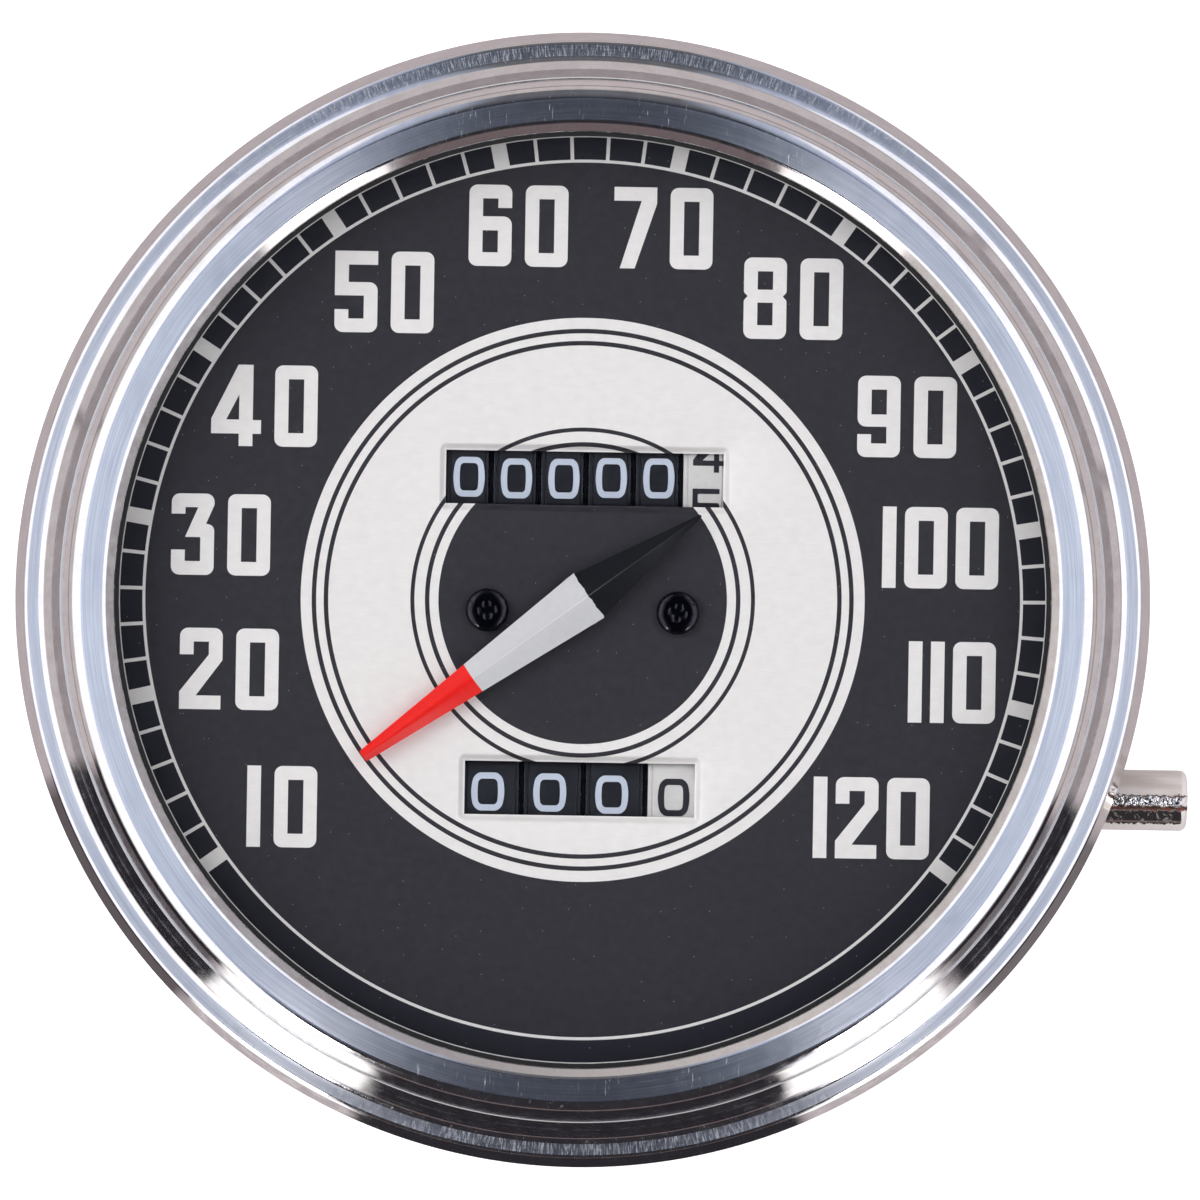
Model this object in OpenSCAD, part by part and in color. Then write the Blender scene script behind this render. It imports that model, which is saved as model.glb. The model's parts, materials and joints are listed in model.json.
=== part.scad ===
// Five inch magnetic speedometer with two number wheel counters.
// The face looks along +Z, twelve o'clock is +Y, and z = 0 is the seat of the bezel on the dash.

/* [Bezel] */
// Outer diameter of the bezel's skirt
bezel_d = 127; // [122:1:136]
// Height of the bezel above the dash
bezel_h = 11; // [10.5:0.1:12]
// Thickness of the bezel's sheet steel
bezel_t = 0.8; // [0.6:0.1:0.9]
// Height of the skirt up to the narrow step
skirt_h = 4.3; // [4:0.1:4.6]
// Inward slope of the skirt
skirt_run = 1.7; // [1.2:0.1:2]
// Width of the narrow step above the skirt
step_w = 1.5; // [1.1:0.1:2]
// Rise of the narrow step towards the riser
step_rise = 0.3; // [0.2:0.1:0.5]
// Inward run of the riser's lower slope
riser_low_run = 2.35; // [2:0.05:2.6]
// Height of the riser's lower slope
riser_low_h = 3.2; // [2.8:0.1:3.4]
// Inward run of the riser's upper slope
riser_high_run = 1.5; // [1.2:0.1:1.8]
// Drop from the top band to the head of the upper slope
shoulder_h = 0.7; // [0.5:0.1:0.9]
// Inward run of the rounded shoulder under the top band
shoulder_run = 0.9; // [0.7:0.1:1.2]
// Width of the flat top band
band_w = 2.6; // [2:0.1:3.4]
// Inward run of the lip that goes down to the glass
lip_run = 1.3; // [1:0.1:1.8]
// Depth of the lip below the top band
lip_h = 2.6; // [2.2:0.1:2.8]
// Rounding of the bezel's outward edges
bezel_round = 0.25; // [0.1:0.05:0.35]
// Width of the hem that is rolled behind the case flange
hem_w = 3.2; // [2.4:0.1:3.6]

/* [Glass and gasket] */
// Thickness of the glass
glass_t = 2; // [1.6:0.1:2.4]
// How far the glass reaches outwards past the lip
glass_lap = 3.8; // [3.2:0.1:4]
// Thickness of the gasket in front of the glass
gasket_front = 0.4; // [0.3:0.1:0.6]
// Thickness of the gasket behind the glass
gasket_back = 0.6; // [0.4:0.1:0.9]
// Thickness of the gasket round the edge of the glass
gasket_side = 0.8; // [0.6:0.1:1]
// How far the gasket shows inside the lip
gasket_show = 0.25; // [0.1:0.05:0.5]
// How far the gasket reaches inwards behind the glass
gasket_lap = 3.2; // [2.6:0.1:4]

/* [Case] */
// Depth of the case behind the dash
case_depth = 51; // [46:0.5:58]
// Thickness of the case's sheet steel
case_t = 1; // [0.8:0.1:1.2]
// Outer radius of the corner at the back of the case
case_corner = 5; // [3:0.5:8]
// Gap between the case wall and the outside of the gasket
case_inset = 0.1; // [0:0.05:0.3]
// Thickness of the flange that the hem holds
flange_t = 1; // [0.8:0.1:1.2]

/* [Dial] */
// Thickness of the dial plate
dial_t = 0.8; // [0.6:0.1:1]
// Depth of the dial's face behind the glass
dial_gap = 3.6; // [3.4:0.1:4.2]
// How far the dial reaches outwards past the lip
dial_lap = 2.5; // [1.5:0.1:3]
// Radius of the hole for the pointer's boss
dial_hole_r = 3; // [2.8:0.1:4]
// Distance between the two dial screws
dial_screw_span = 21.2; // [19:0.2:23]
// Drop of the dial screws below the centre
dial_screw_drop = 1.3; // [0.5:0.1:2]
// Diameter of a dial screw's head
dial_screw_head_d = 4.8; // [4:0.1:5.4]
// Height of a dial screw's head
dial_screw_head_h = 1.3; // [1:0.1:1.6]
// Radius of a dial screw's shank
dial_screw_r = 1.2; // [1:0.1:1.4]
// Length of a dial screw below the dial's face
dial_screw_l = 3.8; // [3:0.1:6]
// Radius of the posts that carry the dial
dial_post_r = 2.3; // [2:0.1:2.6]

/* [Odometer] */
// Height of the odometer's axle above the centre
odometer_y = 13.5; // [13:0.1:14]
// Sideways shift of the odometer's wheels
odometer_shift = 0.13; // [0:0.01:0.3]
// Number of odometer wheels
odometer_count = 6; // [6:1:6]
// Distance from one odometer wheel to the next
odometer_pitch = 5.28; // [5.1:0.02:5.4]
// Width of the odometer's window
odometer_window_w = 30.9; // [30:0.1:31.4]
// Height of both windows
window_h = 5.95; // [5:0.05:6.4]
// Width of the pressed slope round both windows
window_slope_w = 0.9; // [0.4:0.1:1.1]
// Depth of the pressed slope round both windows
window_slope_h = 0.35; // [0.1:0.05:0.5]

/* [Trip counter] */
// Drop of the trip counter's axle below the centre
trip_drop = 21.5; // [21:0.1:22]
// Sideways shift of the trip wheels
trip_shift = 0.4; // [0:0.05:0.5]
// Number of trip wheels
trip_count = 4; // [4:1:4]
// Distance from one trip wheel to the next
trip_pitch = 6.9; // [6.6:0.05:7.2]
// Width of the trip window
trip_window_w = 25.6; // [24:0.1:26.4]
// Height of the trip window's middle above the trip axle
trip_window_rise = 0.45; // [0:0.05:0.8]
// How far the reset stem reaches from the centre line
stem_reach = 68.3; // [66:0.1:75]
// Diameter of the reset stem
stem_d = 6.8; // [6:0.1:7.2]
// Rounding of the reset stem's end
stem_round = 0.8; // [0.4:0.1:1.2]
// Diameter of the reset stem inside its bush
stem_neck_d = 5; // [4.4:0.1:5.4]
// How far the stem's bush reaches out of the case
stem_bush_outside = 5.1; // [4:0.1:6]
// How far the stem's bush reaches into the case
stem_bush_inside = 5.4; // [4:0.1:6]
// Thickness of the wall of the stem's bush
stem_bush_t = 1.6; // [1.2:0.1:2]

/* [Number wheels] */
// Diameter of a number wheel
wheel_d = 19; // [18.6:0.1:19.2]
// Gap between the wheels and the back of the dial
wheel_gap = 0.3; // [0.2:0.05:0.6]
// Gap between a wheel and the carrier plate beside it
wheel_side_gap = 0.12; // [0.1:0.01:0.16]
// Thickness of a carrier plate
carrier_t = 0.35; // [0.3:0.01:0.4]
// Thickness of a wheel's rim
rim_t = 1.2; // [0.9:0.1:1.6]
// Thickness of a wheel's web
web_t = 1; // [0.8:0.1:1.4]
// Radius of a wheel's hub
wheel_hub_r = 3; // [2.6:0.1:3.4]
// Radius of a carrier plate
carrier_r = 8; // [7.4:0.1:8.2]
// Width of a carrier plate's arm
carrier_arm_w = 3; // [2.4:0.1:3.4]
// Radius of the bars that keep the carrier plates from turning
bar_r = 0.9; // [0.7:0.05:1]
// Distance of each bar from its counter's axle, along the dial and behind it
bar_out = 7.8; // [7.6:0.1:8.2]
// Radius of the counters' axles
axle_r = 1.5; // [1.3:0.05:1.6]
// Running clearance between a shaft and its bore
run_gap = 0.06; // [0.03:0.01:0.09]

/* [Pointer] */
// Length of the pointer from the centre to its tip
pointer_tip = 30; // [26:0.5:33]
// Length of the pointer's tail
pointer_tail = 16.1; // [12:0.1:18]
// Widest width of the pointer
pointer_w = 6; // [5:0.1:6.6]
// Width of the pointer at its tip
pointer_tip_w = 1.4; // [1:0.1:2]
// Height of the pointer's ridge above its edges
pointer_ridge = 0.7; // [0.4:0.1:0.9]
// Thickness of the pointer at its edges
pointer_edge = 0.35; // [0.25:0.05:0.5]
// Height of the pointer's edges above the dial
pointer_clear = 1.5; // [1.2:0.1:1.7]
// Angle of the pointer at rest, counted from three o'clock
pointer_rest = 216.4; // [210:0.1:220]
// Sweep of the pointer from its rest to full scale
pointer_sweep = 252; // [240:1:256]
// Distance from the spindle to the pointer's widest place, towards the tail
pointer_wide_at = 0.8; // [0:0.1:2]
// Radius of the pointer's boss
pointer_boss_r = 2.4; // [2:0.1:2.5]
// Radius of the pointer's spindle
spindle_r = 0.6; // [0.5:0.05:0.7]

/* [Speed movement] */
// Radius of the magnet
magnet_r = 11; // [9.5:0.1:11.2]
// Thickness of the magnet
magnet_t = 4; // [3.4:0.1:4.1]
// Width of the magnet across its flats
magnet_flats = 16; // [12:0.5:18]
// Air gap between the magnet and the speed cup
cup_gap = 0.9; // [0.7:0.1:1]
// Thickness of the speed cup
cup_t = 0.5; // [0.4:0.05:0.6]
// Air gap between the speed cup and the field ring
field_gap = 1; // [0.8:0.1:1.2]
// Thickness of the field ring
field_t = 1.2; // [1:0.1:1.4]
// Number of turns of the hairspring
hairspring_turns = 5; // [4:1:6]
// Outer radius of the hairspring
hairspring_r = 5.2; // [4.8:0.1:5.4]
// Thickness of the hairspring's strip
hairspring_t = 0.2; // [0.16:0.02:0.24]
// Width of the hairspring's strip
hairspring_w = 0.6; // [0.4:0.1:0.8]
// Height of the bridge's top above the mid plate
bridge_h = 5.6; // [5.2:0.1:5.8]
// Thickness of the bridge
bridge_t = 1.4; // [1.2:0.1:1.6]
// Length of the bridge
bridge_l = 15.2; // [14.6:0.2:17]
// Width of the bridge
bridge_w = 5; // [4.4:0.1:6]
// Distance of the stop pins from the spindle
stop_r = 3.4; // [3:0.1:3.8]

/* [Gear train] */
// Teeth of the cross shaft's gear, driven by a single start worm
cross_teeth = 14; // [12:1:16]
// Teeth of the counter shaft's gear, driven by a single start worm
counter_teeth = 16; // [14:1:18]
// Teeth of both counter gears, driven by double start worms
wheel_teeth = 20; // [18:1:22]
// Pitch radius of the cross shaft's gear
cross_gear_r = 5.5; // [5.2:0.1:5.6]
// Pitch radius of the counter shaft's gear
counter_gear_r = 9; // [8.6:0.1:9.1]
// Pitch radius of both counter gears
wheel_gear_r = 8.65; // [8.2:0.05:8.7]
// Pitch radius of the worm on the drive shaft
drive_worm_r = 2.6; // [2.5:0.05:2.8]
// Pitch radius of the worm on the cross shaft
cross_worm_r = 2.9; // [2.8:0.05:3.1]
// Pitch radius of the worms on the counter shaft
counter_worm_r = 4.5; // [4.3:0.05:4.7]
// Radius of the drive shaft
drive_shaft_r = 1.6; // [1.4:0.05:1.65]
// Radius of the cross shaft
cross_shaft_r = 1.4; // [1.2:0.05:1.45]
// Radius of the counter shaft
counter_shaft_r = 1.8; // [1.6:0.05:2.2]
// Face width of the gears
gear_w = 2; // [1.6:0.1:2.4]
// Distance of the counter shaft from the centre line
counter_shaft_x = 28.5; // [28.5:0.1:30]

/* [Frame and fastening] */
// Thickness of the frame's base plate
base_t = 3; // [2.4:0.1:3.6]
// Height of the frame's bosses behind the base plate
boss_h = 4; // [3.6:0.1:4.4]
// Thickness of the lugs that carry the shafts
lug_t = 2; // [1.6:0.1:2.4]
// Thickness of the mid plate
mid_t = 1.5; // [1.2:0.1:1.7]
// Gap between the number wheels and the mid plate
mid_gap = 1; // [0.8:0.1:1.2]
// Radius of the frame's pillars
pillar_r = 2.4; // [2.2:0.1:2.8]
// Thickness of the counter brackets
bracket_t = 1.2; // [1:0.1:1.4]
// Length of the feet of the brackets, which the mid plate's ears carry
foot_l = 4.4; // [4.2:0.1:5]
// Width of the feet of the brackets
foot_w = 8; // [7:0.5:10]
// Radius of the frame's bosses
boss_r = 4; // [3.6:0.1:4.6]
// Radius of the drive shaft's bush
bush_r = 3.2; // [2.8:0.1:3.4]
// Radius of the movement's screws
frame_screw_r = 1.25; // [1:0.05:1.4]
// Outer diameter of the cable nipple's thread
nipple_d = 15.88; // [15:0.01:17]
// Length of the cable nipple behind the case
nipple_l = 12; // [10:0.5:16]
// Diameter of the cable nipple's bore
nipple_bore_d = 9.8; // [9.4:0.1:10.2]
// Depth of the drive shaft's end inside the nipple
socket_depth = 6; // [5:0.5:7]
// Width of the square socket for the cable's tip
socket_w = 2.8; // [2.4:0.1:3]
// Radius of the two mounting studs
stud_r = 2.4; // [2:0.1:3]
// Length of the mounting studs behind the case
stud_l = 16; // [12:0.5:22]
// Radius of a mounting stud's neck in the wall of the case
stud_neck_r = 2.1; // [1.8:0.1:2.3]
// Distance between the two mounting studs
stud_span = 70; // [66:1:76]
// Distance of each lamp from the centre
lamp_y = 39; // [38:0.5:41]
// Radius of a lamp holder's barrel
lamp_r = 6; // [5:0.1:6.6]
// Radius of a lamp's bulb
bulb_r = 4.4; // [3.8:0.1:4.8]

/* [Hidden] */
$fn = 64;
overlap = 0.01;

// Bezel outline, from the skirt inwards
bezel_r = bezel_d / 2;
skirt_top_r = bezel_r - skirt_run;
riser_foot_r = skirt_top_r - step_w;
crease_r = riser_foot_r - riser_low_run;
riser_top_r = crease_r - riser_high_run;
band_outer_r = riser_top_r - shoulder_run;
band_inner_r = band_outer_r - band_w;
view_r = band_inner_r - lip_run;
riser_foot_z = skirt_h + step_rise;
crease_z = riser_foot_z + riser_low_h;
lip_z = bezel_h - lip_h;
hem_inner_r = bezel_r - bezel_t / 2 - hem_w;

// Glass, gasket and case mouth, from the lip backwards
glass_front = lip_z - gasket_front;
glass_back = glass_front - glass_t;
case_mouth = glass_back - gasket_back;
glass_r = view_r + glass_lap;
gasket_r = glass_r + gasket_side;
case_r = gasket_r - case_inset;
case_inner_r = case_r - case_t;
case_floor = -case_depth + case_t;
flange_z = bezel_t;
flange_slope = skirt_run / skirt_h * (flange_z + flange_t);
flange_gap = 0.3;
hole_gap = 0.2;
flange_r = bezel_r - flange_slope - bezel_t * sqrt(1 + pow(skirt_run / skirt_h, 2)) - flange_gap;

// Dial and counters, from the glass backwards
dial_face = glass_back - dial_gap;
dial_back = dial_face - dial_t;
dial_r = view_r + dial_lap;
wheel_r = wheel_d / 2;
counter_z = dial_back - wheel_gap - wheel_r;
odometer_wheel_w = odometer_pitch - carrier_t - 2 * wheel_side_gap;
trip_wheel_w = trip_pitch - carrier_t - 2 * wheel_side_gap;
mid_top = counter_z - wheel_r - mid_gap;
mid_back = mid_top - mid_t;
odometer_half = odometer_shift + odometer_count * odometer_pitch / 2;
bracket_gap = 0.9;
bracket_x = odometer_half + bracket_gap;
bracket_out = bracket_x + bracket_t;
foot_screw_x = bracket_out + 0.55 * foot_l;
axle_end = 1;
bar_end = 0.6;
bracket_edge = 2.2;
bracket_low = -trip_drop - bar_out - bracket_edge;
bracket_high = odometer_y + bar_out + bracket_edge;
tower_half = 4;
tower_over = 3.6;
shelf_over = 2.4;
sleeve_t = 1.2;
tower_top = counter_z + tower_over;
shelf_top = counter_z - bar_out + shelf_over;
sleeve_r = axle_r + sleeve_t;
sleeve_end = 0.6;
slip_gap = 0.3;

// Gear train: shaft places and modules
cross_module = 2 * cross_gear_r / cross_teeth;
counter_module = 2 * counter_gear_r / counter_teeth;
wheel_module = 2 * wheel_gear_r / wheel_teeth;
counter_shaft_z = counter_z - wheel_gear_r - counter_worm_r;
cross_shaft_z = counter_shaft_z - counter_gear_r - cross_worm_r;
cross_shaft_y = -cross_gear_r - drive_worm_r;
shaft_end_over = 2;
cross_shaft_over = 1.6;
gear_hub_t = 1.6;
drive_worm_l = 6.4;
cross_worm_l = 7;
counter_worm_l = 6;
addendum = 0.75;
dedendum = 1.15;
thread_crest = 0.11;
thread_foot = 0.29;
thread_steps = 20;
turn_slices = 18;

// Frame
base_back = case_floor + boss_h;
base_top = base_back + base_t;
lug_half = 3.2;
lug_over = 2.6;
cross_lugs_x = [-6.5, 20, 35.5];
counter_lugs_y = [-26.5, 19];
pillars = [[-13.5, 20], [13.5, 20], [-13.5, -27], [13.5, -27]];
bosses = [[-16, 14], [-16, -18], [30, 12]];
base_left = -23;
base_right = 39.5;
base_low = -29.5;
base_high = 22.5;
base_chamfer = 6;
gear_room = 0.6;
bush_flange = 1.6;
bush_foot = 2.2;
shaft_end_gap = 0.4;
bush_head = 0.6;

// Speed movement, from the mid plate backwards
field_top = mid_back;
cup_head_gap = 0.35;
magnet_head_gap = 0.25;
cup_top = field_top - field_t - cup_head_gap;
magnet_top = cup_top - cup_t - magnet_head_gap;
magnet_back = magnet_top - magnet_t;
cup_inner_r = magnet_r + cup_gap;
cup_r = cup_inner_r + cup_t;
foot_step = 0.1;
cup_foot = magnet_back - foot_step;
field_inner_r = cup_r + field_gap;
field_r = field_inner_r + field_t;
field_foot = magnet_back + foot_step;
spindle_seat = 1;
spindle_foot = magnet_back + spindle_seat;
bridge_top = mid_top + bridge_h;
bridge_foot = 1.2;
spring_over = 2;
hairspring_z = mid_top + spring_over;
hairspring_steps = 24;
collet_r = 1.5;
collet_over = 0.4;
collet_gap = 0.5;
stop_pin_r = 0.5;
stop_pin_h = 1.8;
stop_gap = 0.3;
stop_arm_w = 1;
stop_arm_over = 0.8;
stop_half_angle = 17;

// Pointer
pointer_z = dial_face + pointer_clear;
pointer_top = pointer_z + pointer_edge + pointer_ridge;
pointer_tail_w = 0.3;
pointer_boss_in = 0.6;
pointer_boss_foot = dial_back - pointer_boss_in;

// Back of the case
case_back = -case_depth;
nipple_end = case_back - nipple_l;
nipple_flange_w = 3;
nipple_flange_r = nipple_d / 2 + nipple_flange_w;
nipple_flange_t = 1.6;
spigot_step = 1.4;
spigot_r = nipple_d / 2 - spigot_step;
stake_h = 0.6;
shaft_end = nipple_end + socket_depth;
shaft_end_r = 3;
socket_l = 7;
stud_head_w = 2.2;
stud_head_r = stud_r + stud_head_w;
stud_head_t = 1.2;
lamp_flange_w = 2;
lamp_flange_r = lamp_r + lamp_flange_w;
lamp_flange_t = 1;
lamp_back = 7;
lamp_front = 6;
terminal_r = 1.6;
terminal_depth = 3;
bulb_seat = 1;
bulb_neck = 1;
bulb_dome = 2;
screw_head_t = 1.6;
screw_head_r = 2 * frame_screw_r;
plate_head_t = 0.9;
foot_head_t = 1.2;
foot_head_step = 0.3;
foot_head_r = screw_head_r - foot_head_step;
pillar_thread = 6;
stem_wall_x = sqrt(pow(case_r, 2) - pow(trip_drop, 2));
stem_bush_r = stem_neck_d / 2 + stem_bush_t;
stem_bush_in = stem_wall_x - stem_bush_inside;
stem_bush_out = stem_wall_x + stem_bush_outside;
stem_shoulder_gap = 0.5;
stem_tail = 4.5;
stem_shoulder_x = stem_bush_out + stem_shoulder_gap;
stem_inner_x = stem_bush_in - stem_tail;
axle_grip = 5;

// A straight round bar from one height to another
module rod(r, z0, z1) {
  translate([0, 0, z0])
    cylinder(r = r, h = z1 - z0);
}

// A ring with a square section
module ring(r_out, r_in, z0, z1) {
  difference() {
    rod(r_out, z0, z1);
    rod(r_in, z0 - 1, z1 + 1);
  }
}

// Turns a shape whose axis is Z so that its axis is X, through the given point
module along_x(y, z) {
  translate([0, y, z])
    rotate([0, 90, 0])
      children();
}

// Turns a shape whose axis is Z so that its axis is Y, through the given point
module along_y(x, z) {
  translate([x, 0, z])
    rotate([-90, 0, 0])
      children();
}

// Height of a worm's thread, from 0 at its foot to 1 at its crest, at a share of the pitch
function thread_height(share) =
  let (away = abs(share - round(share)))
    away < thread_crest ? 1 : away > thread_foot ? 0
      : (thread_foot - away) / (thread_foot - thread_crest);

// A right hand worm about Z, centred on z = 0, with a thread facing the angle given there
module worm(starts, module_mm, pitch_r, length, facing) {
  lead = starts * PI * module_mm;
  root = pitch_r - dedendum * module_mm;
  height = (addendum + dedendum) * module_mm;
  turns = length / lead;
  rotate(facing - 180 * turns)
    linear_extrude(height = length, center = true, twist = -360 * turns,
                   slices = ceil(turns * turn_slices), segments = thread_steps)
      polygon([for (i = [0:thread_steps - 1])
        let (a = 360 * i / thread_steps,
             r = root + height * thread_height(starts * i / thread_steps))
          r * [cos(a), sin(a)]]);
}

// A gear about Z, centred on z = 0, with a gap between teeth at the angle given
module gear(teeth, pitch_r, width, lead_angle, facing) {
  module_mm = 2 * pitch_r / teeth;
  tip = pitch_r + addendum * module_mm;
  root = pitch_r - dedendum * module_mm;
  turn = width * tan(lead_angle) / pitch_r * 180 / PI;
  rotate(facing + 180 / teeth - turn / 2)
    linear_extrude(height = width, center = true, twist = -turn, slices = 2)
      polygon([for (i = [0:teeth - 1], c = [[-thread_foot, root], [-thread_crest, tip],
                                            [thread_crest, tip], [thread_foot, root]])
        c[1] * [cos(360 * (i + c[0]) / teeth), sin(360 * (i + c[0]) / teeth)]]);
}

// Lead angle of a worm
function lead_angle(starts, module_mm, pitch_r) = atan(starts * module_mm / (2 * pitch_r));

// Section of everything under the bezel's outer face
module bezel_under() {
  offset(r = bezel_round, $fn = 16)
    offset(delta = -bezel_round)
      polygon([
        [bezel_r, -bezel_h], [bezel_r, 0], [skirt_top_r, skirt_h], [riser_foot_r, riser_foot_z],
        [crease_r, crease_z], [riser_top_r, bezel_h - shoulder_h], [band_outer_r, bezel_h],
        [band_inner_r, bezel_h], [view_r, lip_z], [view_r, -bezel_h]
      ]);
}

// Stepped polished bezel, a pressed ring whose hem is rolled behind the case flange
module bezel() {
  color("silver")
    rotate_extrude($fn = 128) {
      difference() {
        bezel_under();
        offset(delta = -bezel_t) bezel_under();
        translate([0, -2 * bezel_h]) square([2 * bezel_r, 2 * bezel_h]);
        translate([0, -bezel_h]) square([view_r + 2 * bezel_t, bezel_h + lip_z]);
      }
      translate([hem_inner_r, 0]) square([hem_w, bezel_t]);
    }
}

// Flat glass
module glass() {
  color("lightcyan", 0.3)
    rod(glass_r, glass_back, glass_front);
}

// Rubber channel round the edge of the glass
module glass_gasket() {
  color("black")
    difference() {
      rod(gasket_r, case_mouth, lip_z);
      rod(glass_r, glass_back, glass_front);
      rod(view_r - gasket_show, glass_back, lip_z + 1);
      rod(glass_r + overlap - gasket_lap, case_mouth - 1, glass_back + overlap);
    }
}

// Window in the dial with a pressed slope round it, centred at a height
module window(width, y) {
  translate([-width / 2, y - window_h / 2, dial_back - 1])
    cube([width, window_h, dial_t + 2]);
  translate([0, y, dial_face - window_slope_h])
    linear_extrude(window_slope_h + overlap, slices = 1, segments = 4,
                   scale = [1 + 2 * window_slope_w / width, 1 + 2 * window_slope_w / window_h])
      square([width, window_h], center = true);
}

// Dial plate with its two windows and its screw holes
module dial() {
  color("dimgray")
    difference() {
      rod(dial_r, dial_back, dial_face);
      rod(dial_hole_r, dial_back - 1, dial_face + 1);
      window(odometer_window_w, odometer_y);
      window(trip_window_w, trip_window_rise - trip_drop);
      dial_screw_places() rod(dial_screw_r + hole_gap, dial_back - 1, dial_face + 1);
    }
}

// Both places of the dial screws
module dial_screw_places() {
  for (side = [-1, 1])
    translate([side * dial_screw_span / 2, -dial_screw_drop])
      children();
}

// Two pan headed screws that hold the dial to its posts
module dial_screws() {
  head_r = dial_screw_head_d / 2;
  flat_r = 0.4 * head_r;
  edge_h = 0.4 * dial_screw_head_h;
  crown_h = dial_screw_head_h - edge_h;
  screw_foot = dial_face - dial_screw_l;
  color("black")
    dial_screw_places()
      rotate_extrude()
        polygon(concat(
          [[0, screw_foot], [dial_screw_r, screw_foot], [dial_screw_r, dial_face],
           [head_r, dial_face]],
          [for (a = [0:15:90]) [flat_r + (head_r - flat_r) * cos(a),
                               dial_face + edge_h + crown_h * sin(a)]],
          [[0, dial_face + dial_screw_head_h]]
        ));
}

// Posts that stand on the mid plate and carry the dial
module dial_posts() {
  color("goldenrod")
    dial_screw_places()
      ring(dial_post_r, dial_screw_r, mid_top, dial_back);
}

// Outline of the pointer, with its tip along +X
module pointer_outline() {
  polygon([
    [pointer_tip - pointer_tip_w / 2, -pointer_tip_w / 2],
    [pointer_tip, -pointer_tip_w / 5],
    [pointer_tip, pointer_tip_w / 5],
    [pointer_tip - pointer_tip_w / 2, pointer_tip_w / 2],
    [-pointer_wide_at, pointer_w / 2],
    [-pointer_tail, pointer_tail_w / 2],
    [-pointer_tail, -pointer_tail_w / 2],
    [-pointer_wide_at, -pointer_w / 2]
  ]);
}

// Pointer with a ridge along its middle and a boss that grips the spindle
module pointer() {
  color("red")
    rotate(pointer_rest) {
      intersection() {
        translate([0, 0, pointer_z])
          linear_extrude(pointer_edge + pointer_ridge)
            pointer_outline();
        translate([-2 * pointer_tip, 0, 0])
          rotate([90, 0, 90])
            linear_extrude(4 * pointer_tip)
              polygon([
                [-pointer_w / 2, pointer_z], [pointer_w / 2, pointer_z],
                [pointer_w / 2, pointer_z + pointer_edge],
                [0, pointer_top],
                [-pointer_w / 2, pointer_z + pointer_edge]
              ]);
      }
      ring(pointer_boss_r, spindle_r, pointer_boss_foot, pointer_z);
    }
}

// Steel spindle of the pointer, from its seat in the drive shaft to the pointer
module spindle() {
  color("silver")
    union() {
      rod(spindle_r, spindle_foot, pointer_z);
      rod(collet_r, hairspring_z - collet_over, hairspring_z + hairspring_w + collet_over);
    }
}

// Collar above the bridge with the arm that meets the stops
module stop_arm() {
  color("gold")
    difference() {
      union() {
        rod(collet_r, bridge_top + stop_gap, bridge_top + stop_gap + stop_pin_h);
        rotate(pointer_rest)
          translate([0, -stop_arm_w / 2, bridge_top + 2 * stop_gap])
            cube([stop_r + stop_arm_over, stop_arm_w, stop_arm_w]);
      }
      rod(spindle_r, bridge_top, bridge_top + stop_gap + stop_pin_h + 1);
    }
}

// Aluminium cup that the turning magnet drags
module speed_cup() {
  color("lightgray")
    difference() {
      rod(cup_r, cup_foot, cup_top);
      rod(cup_inner_r, cup_foot - 1, cup_top - cup_t);
      rod(spindle_r, cup_foot - 1, cup_top + 1);
    }
}

// Point of the hairspring at a step along it, moved outwards from its middle line
function spring_point(step, out) =
  let (inner_r = collet_r + collet_gap,
       steps = hairspring_steps * hairspring_turns,
       r = inner_r + (hairspring_r - inner_r) * step / steps + out,
       a = 360 * step / hairspring_steps)
    r * [cos(a), sin(a)];

// Flat spiral hairspring
module hairspring() {
  steps = hairspring_steps * hairspring_turns;
  color("steelblue")
    translate([0, 0, hairspring_z])
      linear_extrude(hairspring_w)
        polygon(concat(
          [for (i = [0:steps]) spring_point(i, hairspring_t / 2)],
          [for (i = [steps:-1:0]) spring_point(i, -hairspring_t / 2)]
        ));
}

// Bridge over the hairspring, with the spindle's bearing and the two stop pins
module spring_bridge() {
  foot_x = bridge_l / 2 - bridge_foot;
  color("goldenrod") {
    difference() {
      translate([-bridge_l / 2, -bridge_w / 2, mid_top])
        cube([bridge_l, bridge_w, bridge_h]);
      translate([-foot_x, -bridge_w, mid_top - 1])
        cube([2 * foot_x, 2 * bridge_w, bridge_h - bridge_t + 1]);
      rod(spindle_r + run_gap, mid_top, bridge_top + 1);
    }
    for (a = [pointer_rest + stop_half_angle, pointer_rest - pointer_sweep - stop_half_angle])
      rotate(a)
        translate([stop_r, 0, 0])
          rod(stop_pin_r, bridge_top - overlap, bridge_top + stop_pin_h);
  }
}

// Solid cup shape with a round corner, open upwards at the height of its mouth
module cup_solid(r, floor_z, corner, mouth) {
  rotate_extrude($fn = 128)
    polygon(concat(
      [[0, mouth], [0, floor_z]],
      [for (a = [-90:15:0])
        [r - corner + corner * cos(a), floor_z + corner + corner * sin(a)]],
      [[r, mouth]]
    ));
}

// Both places of the lamps
module lamp_places() {
  for (side = [-1, 1])
    translate([0, side * lamp_y])
      children();
}

// Both places of the mounting studs
module stud_places() {
  for (side = [-1, 1])
    translate([side * stud_span / 2, 0])
      children();
}

// Places of the frame's bosses and of the case screws
module boss_places() {
  for (p = bosses)
    translate(p)
      children();
}

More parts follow.
